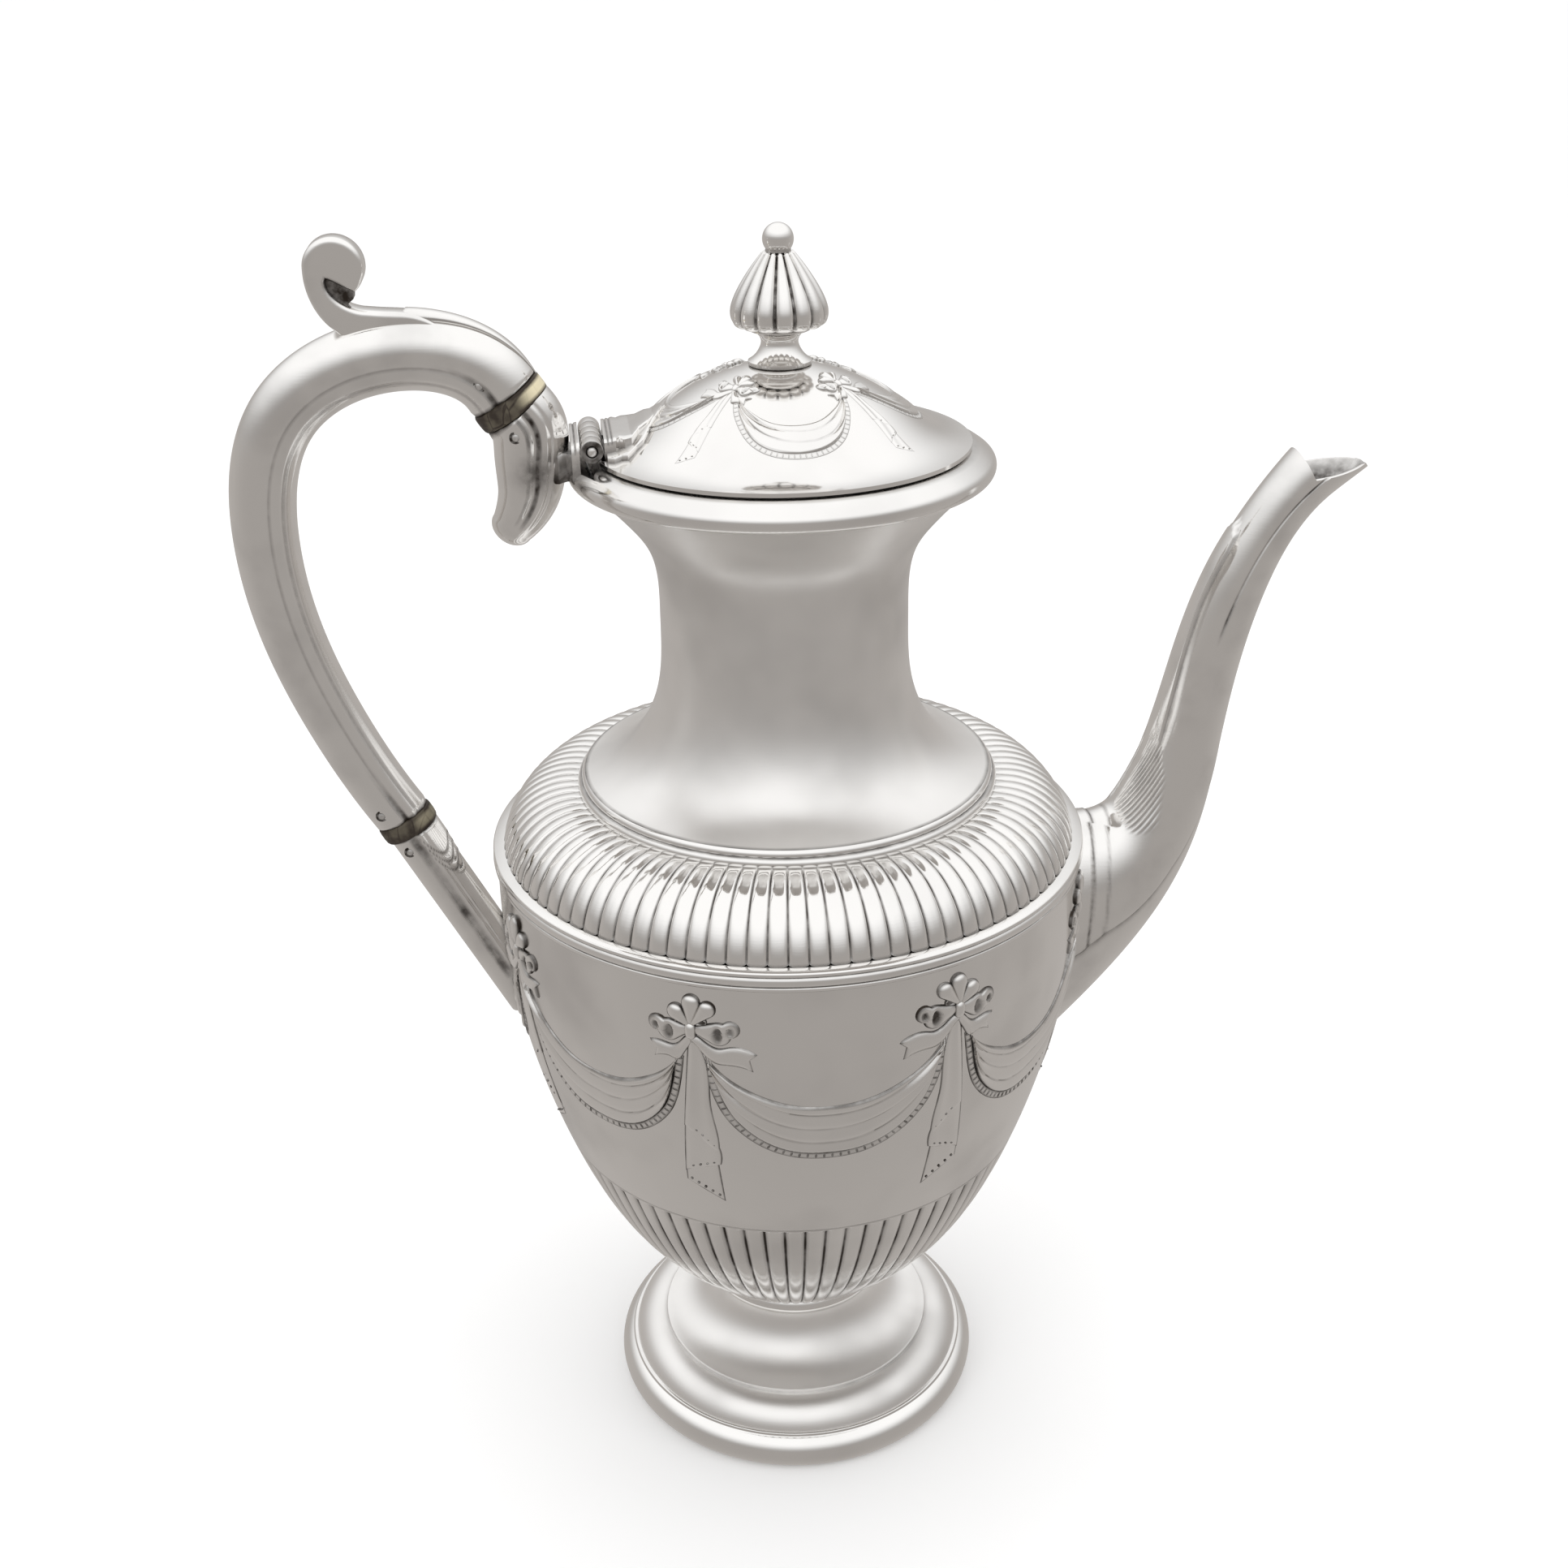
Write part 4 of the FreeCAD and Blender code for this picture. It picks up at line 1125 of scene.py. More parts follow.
@dataclass
class Finial:
    """The finial: a waisted stem, a lobed cap and a small ball."""

    base: float = 232.4
    cap_base: float = 239.6
    cap_top: float = 252.7
    waist: tuple = ((5.9, 233.3), (3.75, 235.6), (3.45, 236.9), (4.0, 238.0), (5.5, 238.75))
    bell: tuple = (
        *((5.85, 239.6), (8.5, 240.1), (9.0, 241.6), (8.5, 244.2)),
        *((7.3, 246.6), (5.7, 249.1), (2.9, 252.7)),
    )
    lobe_columns: tuple = tuple(np.linspace(0, 1, 18, endpoint=False))
    lobes: Flutes = Flutes(14, 1.2, 3.0, line=0.3, low=239.9, high=252.9, fade=0.6, columns=lobe_columns)
    ball_radius: float = 2.85
    ball_height: float = 254.88
    ball_neck: float = 2.35
    ball_start: float = -0.63

    def stem(self) -> None:
        """Turns the waisted stem."""
        profile = joined(
            [(0, self.base), (5.6, self.base), (5.9, self.base + 0.25)],
            smooth_line(self.waist, 40),
            [(5.85, 238.95), (5.85, 239.4), (5.6, self.cap_base), (0, self.cap_base)],
        )
        groove = np.zeros(len(profile))
        groove[:3] = (0.9, 0.9, 0.5)
        groove[-3:] = 0.9
        turned(profile, 128, groove).place("finial_stem_turned", Body.LID, CAST, "finial_stem")

    def cap(self) -> None:
        """Turns the cap and works its ring of lobes."""
        floor = [(0, self.cap_base), (3.0, self.cap_base)]
        profile = joined(floor, smooth_line(self.bell, 64), [(0, self.cap_top)])
        mark = np.zeros(len(profile))
        mark[len(floor) : -1] = 1.0
        piece = turned(profile, self.lobes.angles(), 0.0, mark).make("finial_cap_lobes", 80)
        place(self.lobes.work(piece, CAST), Body.LID, CAST, "finial_cap")

    def ball(self) -> None:
        """Turns the ball on its short neck."""
        angles = np.linspace(self.ball_start, math.pi / 2, 30)
        ball = self.ball_radius * np.stack([np.cos(angles), np.sin(angles)], -1) + (0, self.ball_height)
        ball[-1, 0] = 0.0
        profile = joined([(0, self.cap_top), (self.ball_neck, self.cap_top)], ball)
        groove = np.zeros(len(profile))
        groove[:3] = 0.4
        turned(profile, 96, groove).place("finial_ball_turned", Body.LID, CAST, "finial_ball")

    def build(self) -> None:
        """Builds and dresses the finial."""
        self.stem()
        self.cap()
        self.ball()


# Chased ornament


@dataclass
class TurnedSkin:
    """The outer face of a turned form, measured as a drop from its top."""

    line: Array

    def __post_init__(self) -> None:
        """Measures the line and its outward direction."""
        self.drops = run_lengths(self.line)
        self.out = left_of(directions(self.line))

    def radius(self, drop: Array) -> Array:
        """Radius of the form at a drop."""
        return np.interp(drop, self.drops, self.line[:, 0])

    def spot(self, azimuth: Array, drop: Array, height: Marks) -> Array:
        """Points that stand off the face.

        Args:
            azimuth: Angle about the axis.
            drop: Drop from the top, along the face.
            height: Distance off the face.

        Returns:
            The points.
        """
        level, up = (np.interp(drop, self.drops, self.out[:, axis]) for axis in (0, 1))
        radius = self.radius(drop) + level * height
        rise = np.interp(drop, self.drops, self.line[:, 1]) + up * height
        return np.stack([radius * np.cos(azimuth), radius * np.sin(azimuth), rise], -1)


def round_outline(circles: Array, centre: Array, count: int = 48) -> Array:
    """Outline round overlapping circles, seen from a centre among them.

    Args:
        circles: The x, y and radius of each circle.
        centre: Where the outline is seen from.
        count: Number of points to draw.

    Returns:
        The outline.
    """
    way = np.stack([np.cos(circle(count)), np.sin(circle(count))], -1)
    reach = np.zeros(count)
    for x, y, radius in circles:
        gap = np.array([x, y]) - centre
        ahead = way @ gap
        inside = radius**2 - gap @ gap + ahead**2
        reach = np.maximum(reach, np.where(inside > 0, ahead + np.sqrt(np.maximum(inside, 0)), 0))
    return centre + way * reach[:, None]


@dataclass(frozen=True)
class Motif:
    """Where a drawing lies: the angle of its middle, and -1 where it is turned over."""

    middle: float
    mirror: float = 1.0


@dataclass(frozen=True)
class Boss:
    """A rounded boss of a bow, drawn round a run of circles, with hollows sunk in it."""

    run: tuple
    centre: tuple
    height: float
    lobe: Optional[tuple] = None
    hollows: tuple = ()

    def outline(self) -> Array:
        """The outline round all its circles."""
        circles = [*np.linspace(*self.run, 9)] + ([self.lobe] if self.lobe else [])
        return round_outline(np.array(circles), np.array(self.centre))

    def hollowed(self, points: Array) -> list[Array]:
        """How far each of its hollows is worked at points, from 0 to 1."""
        spots = [np.linalg.norm((points - np.array(spot)) / radii, axis=-1) for spot, radii in self.hollows]
        return [1 - step_up(away, 0.6, 1.25) for away in spots]


TAIL_PANELS = (
    (((-3.9, -33.0), (-4.2, -38.9)), ((3.0, -31.0), (3.1, -37.0), (3.1, -44.0)), 0.16),
    (((-2.7, -21.5), (-3.5, -29.0), (-4.2, -36.4)), ((3.3, -27.0), (3.9, -30.8), (3.5, -32.8)), 0.28),
    (
        ((-0.7, -2.4), (-1.7, -12.0), (-3.0, -23.4)),
        ((0.8, -2.4), (2.2, -5.2), (2.9, -17.6), (3.7, -26.2), (3.5, -29.9)),
        0.4,
    ),
)
TAIL_HEMS = (
    ((-2.1, -22.4), (0.1, -24.6), (2.1, -26.6), (3.1, -27.9)),
    ((-3.0, -34.5), (0.2, -33.2), (2.9, -31.9)),
    ((-3.7, -37.8), (-1.6, -39.4), (0.7, -41.0), (2.8, -42.5)),
)
RIBBONS = (
    (
        ((0.0, -1.1), (-1.1, -1.7), (-2.5, -3.3), (-3.7, -4.0), (-5.3, -3.9), (-7.0, -3.7), (-8.5, -4.0)),
        ((0.0, -3.0), (-1.5, -5.7), (-2.9, -7.4), (-4.4, -7.1), (-6.1, -7.1), (-7.7, -7.7)),
    ),
    (
        ((0.0, -1.1), (1.1, -1.4), (2.9, -2.7), (5.3, -3.6), (7.2, -3.1), (8.9, -3.0), (12.3, -4.5)),
        ((0.2, -3.0), (1.3, -4.1), (2.9, -6.0), (4.7, -7.2), (6.6, -7.3), (8.5, -7.4), (11.4, -8.4)),
    ),
)
LEFT_HOLLOWS = (((-4.2, -1.1), (0.95, 1.6)), ((-6.8, -0.3), (0.65, 0.9)))
RIGHT_HOLLOWS = (((5.1, -0.6), (1.0, 1.7)), ((7.5, 0.3), (0.65, 1.0)))
BOSSES = (
    Boss(((-0.7, -0.2, 0.8), (-4.3, -0.9, 2.4)), (-4.3, -1.0), 0.75, (-6.7, 0.1, 1.8), LEFT_HOLLOWS),
    Boss(((0.7, -0.0, 0.8), (5.2, -0.5, 2.5)), (5.2, -0.5), 0.75, (7.5, 0.7, 1.8), RIGHT_HOLLOWS),
    Boss(((0.0, 0.8, 0.4), (-2.8, 3.3, 1.7)), (-2.6, 3.1), 0.95),
    Boss(((0.0, 0.8, 0.4), (3.2, 4.5, 1.7)), (3.0, 4.2), 0.95),
    Boss(((0.0, 0.8, 0.4), (0.2, 5.5, 1.8)), (0.2, 5.3), 1.0),
    Boss(((-1.3, 1.0, 0.4), (-2.5, 0.9, 0.7)), (-2.1, 1.0), 0.5, None, (((-2.1, 1.0), (0.95, 0.5)),)),
    Boss(((1.1, 1.3, 0.4), (2.5, 1.7, 0.7)), (2.1, 1.6), 0.5, None, (((2.1, 1.6), (1.0, 0.55)),)),
    Boss(((0.0, 0.5, 1.1), (0.0, -1.2, 1.1)), (0.0, -0.3), 1.0),
)
BOSS_INSETS = np.array([0.0, 0.0, 0.05, 0.11, 0.19, 0.3, 0.42, 0.54, 0.66, 0.78, 0.9])
# Painted shade: dark round the foot of each boss, at both edges of each hem, and over the stitches.
BOSS_MARKS = np.array([1.0, 1.0, 0.95, 0.6, 0.12, 0, 0, 0, 0, 0, 0])
HEM_STEPS = np.array([0, 0.06, 0.14, 0.3, 0.5, 0.7, 0.86, 0.94, 1.0])
HEM_MARKS = np.array([1.0, 0.95, 0.6, 0.2, 0.1, 0.2, 0.6, 0.95, 1.0])
CLOTH_STEPS = np.concatenate([[0.01, 0.03], np.linspace(0.06, 0.97, 34), [0.985, 1.0]])
STITCH_LEVELS = np.array([(1.0, -0.6), (1.0, 0.1), (0.8, 0.75), (0.35, 1.0)])
STITCH_MARKS = np.array([1.0, 0.9, 0.1, 0.0])


@dataclass
class Garland:
    """Chased swags that hang between ribbon bows, each bow with a folded tail below it."""

    name: str
    skin: TurnedSkin
    body: Body
    node: str
    bows: tuple
    knot_drop: float
    swag_top: Pairs
    swag_border: Pairs
    border_width: float = 1.7
    bow_size: float = 1.0
    tail_size: float = 1.0
    relief: float = 1.0
    folds: float = 3.4
    stitch_pitch: float = 1.55
    hem_pitch: float = 1.35
    shade: float = 1.0
    line: float = 0.4
    columns: int = 150
    sunk: float = 0.45
    boss_lift: float = 1.3
    hollow_depth: float = 0.75
    hollow_shade: float = 0.95
    edge_shade: float = 0.85
    ribbon_height: float = 0.75
    ribbon_notch: float = 1.2
    tail_pleats: float = 1.5
    pleat_depth: float = 0.45
    hem_height: float = 0.13
    fold_height: float = 0.8
    crease_shade: float = 0.75
    stitch_height: float = 0.14
    stitch_shade: float = 0.75
    spots: list = field(default_factory=list)
    dots: list = field(default_factory=list)

    def on_face(self, motif: Motif, flat: Array, height: Marks) -> Array:
        """Points of the form over a flat drawing.

        Args:
            motif: Where the drawing lies.
            flat: Distances to the right of the middle and above the knot.
            height: Distance off the face.

        Returns:
            The points.
        """
        drop = self.knot_drop - flat[..., 1]
        azimuth = motif.middle + motif.mirror * flat[..., 0] / self.skin.radius(drop)
        return self.skin.spot(azimuth, drop, height)

    def sheet(self, draft: Draft, motif: Motif, flat: Array, height: Array, groove: Array) -> None:
        """Adds a closed sheet of relief over a grid, with its foot sunk in the wall.

        Args:
            draft: The form to add to.
            motif: Where the drawing lies.
            flat: The grid of the drawing.
            height: Height of each grid point.
            groove: Groove mark of each grid point.
        """
        upper = draft.add(self.on_face(motif, flat, height), self.shade * groove)
        # The sunk underside is painted fully dark, so painted shade runs down the relief's sides to the
        # wall.
        lower = draft.add(self.on_face(motif, flat, -self.sunk), 1.0)
        start = len(draft.faces)
        draft.skin(upper, columns_closed=False)
        draft.skin(lower[:, ::-1], columns_closed=False)
        rims = [(grid[0], grid[1:, -1], grid[-1, -2::-1], grid[-2:0:-1, 0]) for grid in (upper, lower)]
        top, foot = map(np.concatenate, rims)
        draft.faces.append(np.stack([foot, np.roll(foot, -1), np.roll(top, -1), top], -1))
        draft.turn_outwards(start)

    def ruled(
        self,
        draft: Draft,
        motif: Motif,
        left: Array,
        right: Array,
        height: float,
        notch: float = 0.0,
        pleats: float = 0.0,
    ) -> None:
        """Adds a sheet between two edges, with a rounded rise and a dark line at its outline.

        Args:
            draft: The form to add to.
            motif: Where the drawing lies.
            left: One edge.
            right: The other edge.
            height: Its height.
            notch: Depth of the notch in its end.
            pleats: Number of pleats along it.
        """
        wide = np.linalg.norm(right - left, axis=1)
        across = np.array([0, 0.5, 1, 2.2])[:, None] * self.line / np.maximum(wide, 1.2)
        middle = across[-1] + (1 - 2 * across[-1]) * np.linspace(0, 1, 12)[1:-1, None]
        share = np.vstack([across, middle, 1 - across[::-1]])
        steps = np.linspace(0, 1, len(left))
        spine = (left + right) / 2
        fork = notch * (1 - np.abs(2 * share - 1)) * steps**6
        flat = left + (right - left) * share[..., None] - directions(spine) * fork[..., None]
        length = run_lengths(spine)
        inside = np.minimum(np.minimum(share, 1 - share) * wide, length[-1] - length)
        wave = 0.5 + 0.5 * np.cos(TURN * pleats * share + 2.0 * steps)
        rise = np.sqrt(np.clip(inside / (3 * self.line), 0, 1))
        rise *= 1 - self.pleat_depth * wave * (pleats > 0)
        groove = self.edge_shade * (1 - step_up(inside, 0.25 * self.line, 1.1 * self.line))
        self.sheet(draft, motif, flat, height * self.relief * rise, groove)

    def blister(self, draft: Draft, motif: Motif, boss: Boss) -> None:
        """Adds a rounded boss with its hollows.

        Args:
            draft: The form to add to.
            motif: Where the drawing lies.
            boss: The boss.
        """
        centre = np.array(boss.centre)
        outline = boss.outline()
        shrink = 1 - BOSS_INSETS
        flat = centre + (outline - centre) * shrink[:, None, None]
        rise = np.sqrt(1 - shrink**2)[:, None] * np.ones(len(outline))
        groove = BOSS_MARKS[:, None] * np.ones(len(outline))
        for cut in boss.hollowed(flat):
            rise = rise * (1 - self.hollow_depth * cut)
            groove = np.maximum(groove, self.hollow_shade * cut)
        middle = max([0.0, *map(float, boss.hollowed(centre))])
        full = self.boss_lift * boss.height * self.relief
        lift = full * rise
        lift[0] = -self.sunk
        start = len(draft.faces)
        index = draft.add(self.on_face(motif, flat * self.bow_size, lift), self.shade * groove)
        draft.skin(index)
        tip, dark = full * (1 - self.hollow_depth * middle), self.hollow_shade * middle
        for ring, lifted, mark in ((index[0][::-1], -self.sunk, 1.0), (index[-1], tip, dark)):
            draft.fan(ring, self.on_face(motif, centre * self.bow_size, lifted), mark)
        draft.turn_outwards(start)

    def edge_line(self, pairs: Pairs, half: float) -> Array:
        """One edge of a swag as even steps from bow to bow.

        Args:
            pairs: Shares of half a bay, and the drop at each.
            half: Half a bay, as an angle.

        Returns:
            The edge.
        """
        table = np.asarray(pairs, float)
        table = np.vstack([table[:0:-1] * (-1, 1), table])
        share = np.linspace(table[0, 0], table[-1, 0], 400)
        drop = smooth_table(table[:, 0], table[:, 1:], share)[:, 0]
        flat = np.stack([share * half * self.skin.radius(self.knot_drop + drop), -drop], -1)
        return resampled(flat, self.columns)

    def folded(self, bay: int) -> tuple[Array, Array]:
        """Folds of one swag's cloth above its hem.

        Args:
            bay: Number of the swag.

        Returns:
            Height and groove mark over the grid.
        """
        hem, cloth = HEM_STEPS[:, None], CLOTH_STEPS[:, None]
        steps = np.linspace(-1, 1, self.columns)
        ones = np.ones(self.columns)
        outer = np.abs(steps)
        wave = cloth * self.folds + 0.18 * np.sin(2.6 * steps + 1.7 * bay) + 0.25 * steps**2
        part = wave - np.floor(wave)
        ridge = np.sin(math.pi * part**0.7)
        strong = 0.5 + 0.5 * np.sin(3.3 * steps + 2.4 * np.floor(wave) + 1.3 * bay) * outer**0.3
        crease = hump(np.minimum(part, 1 - part), 0.0, 0.07) * (wave > 0.4) * (cloth < 0.95)
        lift = np.sqrt(np.minimum(np.clip((1 - cloth) / 0.08, 0, 1), np.clip(cloth / 0.05, 0, 1)))
        raised = lift * (0.2 + ridge * (0.28 + self.fold_height * strong * outer**0.7))
        low = self.hem_height * np.sqrt(np.clip(np.minimum(hem, 1 - hem) / 0.15, 0, 1)) * ones
        height = self.relief * np.concatenate([low, raised]) * step_up(1 - outer, 0.0, 0.1)
        # The cloth is darker at both its edges: painted shade where it meets the hem and the wall.
        ends = np.clip((cloth - 0.95) / 0.04, 0, 0.75) + np.clip(1 - cloth / 0.04, 0, 0.8)
        marks = np.maximum(ends, self.crease_shade * crease * strong)
        return height, np.concatenate([HEM_MARKS[:, None] * ones, marks])

    def swag(self, bay: int) -> None:
        """Draws one swag of cloth with folds and a bordered hem.

        Args:
            bay: Number of the swag.
        """
        first = self.bows[bay]
        half = (self.bows[(bay + 1) % len(self.bows)] - first) % 360 / 2
        motif = Motif(math.radians(first + half))
        edges = (self.swag_top, self.swag_border)
        top, border = (self.edge_line(edge, math.radians(half)) for edge in edges)
        inner = offset_line(border, self.border_width)
        hem = border + (inner - border) * HEM_STEPS[:, None, None]
        cloth = inner + (top - inner) * CLOTH_STEPS[:, None, None]
        draft = Draft()
        self.sheet(draft, motif, np.concatenate([hem, cloth]), *self.folded(bay))
        self.mark_line(motif, (border + inner) / 2, self.stitch_pitch, 0.1, self.spots)
        draft.place(f"{self.name}_swag_{bay + 1}", self.body, CHASED, self.node, sharp=70)

    def bow(self, bay: int) -> None:
        """Draws one bow of ribbon with its hanging tail.

        Args:
            bay: Number of the bow.
        """
        motif = Motif(math.radians(self.bows[bay]), 1.0 if bay % 2 else -1.0)
        draft = Draft()
        for left, right, height in TAIL_PANELS:
            edges = [smooth_line(edge, 44) * self.tail_size for edge in (left, right)]
            self.ruled(draft, motif, *edges, height, pleats=self.tail_pleats)
        for pair in RIBBONS:
            edges = [smooth_line(edge, 40) * self.bow_size for edge in pair]
            self.ruled(draft, motif, *edges, self.ribbon_height, notch=self.ribbon_notch * self.bow_size)
        for boss in BOSSES:
            self.blister(draft, motif, boss)
        for hem in TAIL_HEMS:
            self.mark_line(motif, smooth_line(hem, 40) * self.tail_size, self.hem_pitch, 0.24, self.dots)
        draft.place(f"{self.name}_bow_{bay + 1}", self.body, CHASED, self.node, sharp=70)

    def mark_line(self, motif: Motif, flat: Array, pitch: float, height: float, places: list) -> None:
        """Marks the places of stitches along a drawn line.

        Args:
            motif: Where the drawing lies.
            flat: The line.
            pitch: Distance from stitch to stitch.
            height: Height of the cloth there, as a share of the relief.
            places: The list that takes each stitch's place, outward way and direction.
        """
        count = max(3, int(run_lengths(flat)[-1] / pitch))
        fine = resampled(flat, 2 * count + 1)
        points = self.on_face(motif, fine, height * self.relief)
        out = self.on_face(motif, fine, height * self.relief + 1.0) - points
        for index in range(1, len(fine), 2):
            places.append((points[index], out[index], points[index + 1] - points[index - 1]))

    def stitch_shape(self, length: float, width: float) -> Piece:
        """Draws a small rounded stitch about the origin.

        Args:
            length: Its length.
            width: Its width.

        Returns:
            The shape.
        """
        sides = 8
        angles = circle(sides) + TURN / (2 * sides)
        square = 1 / np.maximum(np.abs(np.cos(angles)), np.abs(np.sin(angles))) ** 0.7
        reach, level = STITCH_LEVELS[:, :1] * square / 2, STITCH_LEVELS[:, 1:] * np.ones(sides)
        x, y = reach * np.cos(angles) * length, reach * np.sin(angles) * width
        rings = np.stack([x, y, level * self.stitch_height * self.relief], -1)
        marks = self.shade * np.maximum(STITCH_MARKS, self.stitch_shade)[:, None]
        return Draft().tube(rings, marks, self.shade * self.stitch_shade).make(f"{self.name}_stitch", 80)

    def build(self) -> None:
        """Builds and dresses the garland."""
        for bay in range(len(self.bows)):
            self.swag(bay)
            self.bow(bay)
        pitch = self.stitch_pitch
        sets = (
            ("stitches", self.spots, (0.32 * pitch, 0.66 * self.border_width)),
            ("hem_dots", self.dots, (0.36 * pitch, 0.24 * pitch)),
        )
        for label, places, sizes in sets:
            here, out, along = (np.array(values) for values in zip(*places))
            shape = self.stitch_shape(*sizes)
            piece = set_in_places(f"{self.name}_{label}", shape, here, out, along, CHASED)
            place(piece, self.body, CHASED, self.node)


def bowl_garland() -> Garland:
    """The eight bows and swags round the bowl."""
    return Garland(
        name="bowl",
        skin=TurnedSkin(smooth_line(BOWL_LINE, 600)[::-1]),
        body=Body.POT,
        node="bowl",
        bows=(-160.0, -115.0, -66.0, -20.0, 20.0, 66.0, 115.0, 160.0),
        knot_drop=8.9,
        swag_top=((0, 16.7), (0.3, 15.9), (0.55, 13.5), (0.75, 10.3), (0.87, 7.1), (0.94, 4.4)),
        swag_border=(
            *((0, 30.2), (0.3, 29.3), (0.55, 26.2), (0.72, 22.1)),
            *((0.83, 17.3), (0.89, 12.1), (0.93, 6.4)),
        ),
    )


def lid_garland() -> Garland:
    """The four bows and swags on the lid."""
    return Garland(
        name="lid",
        skin=TurnedSkin(smooth_line(LID_LINE, 300)[::-1]),
        body=Body.LID,
        node="lid_dome",
        bows=(-135.0, -45.0, 45.0, 135.0),
        knot_drop=7.1,
        swag_top=((0, 8.9), (0.3, 8.0), (0.5, 6.2), (0.66, 4.6), (0.8, 2.8), (0.92, 1.0)),
        swag_border=((0, 16.4), (0.3, 15.2), (0.5, 12.4), (0.66, 8.8), (0.8, 5.4), (0.9, 2.4)),
        border_width=1.25,
        bow_size=0.55,
        tail_size=0.44,
        relief=0.7,
        folds=2.6,
        stitch_pitch=1.0,
        hem_pitch=0.9,
        line=0.2,
        shade=0.4,
    )


# The spout


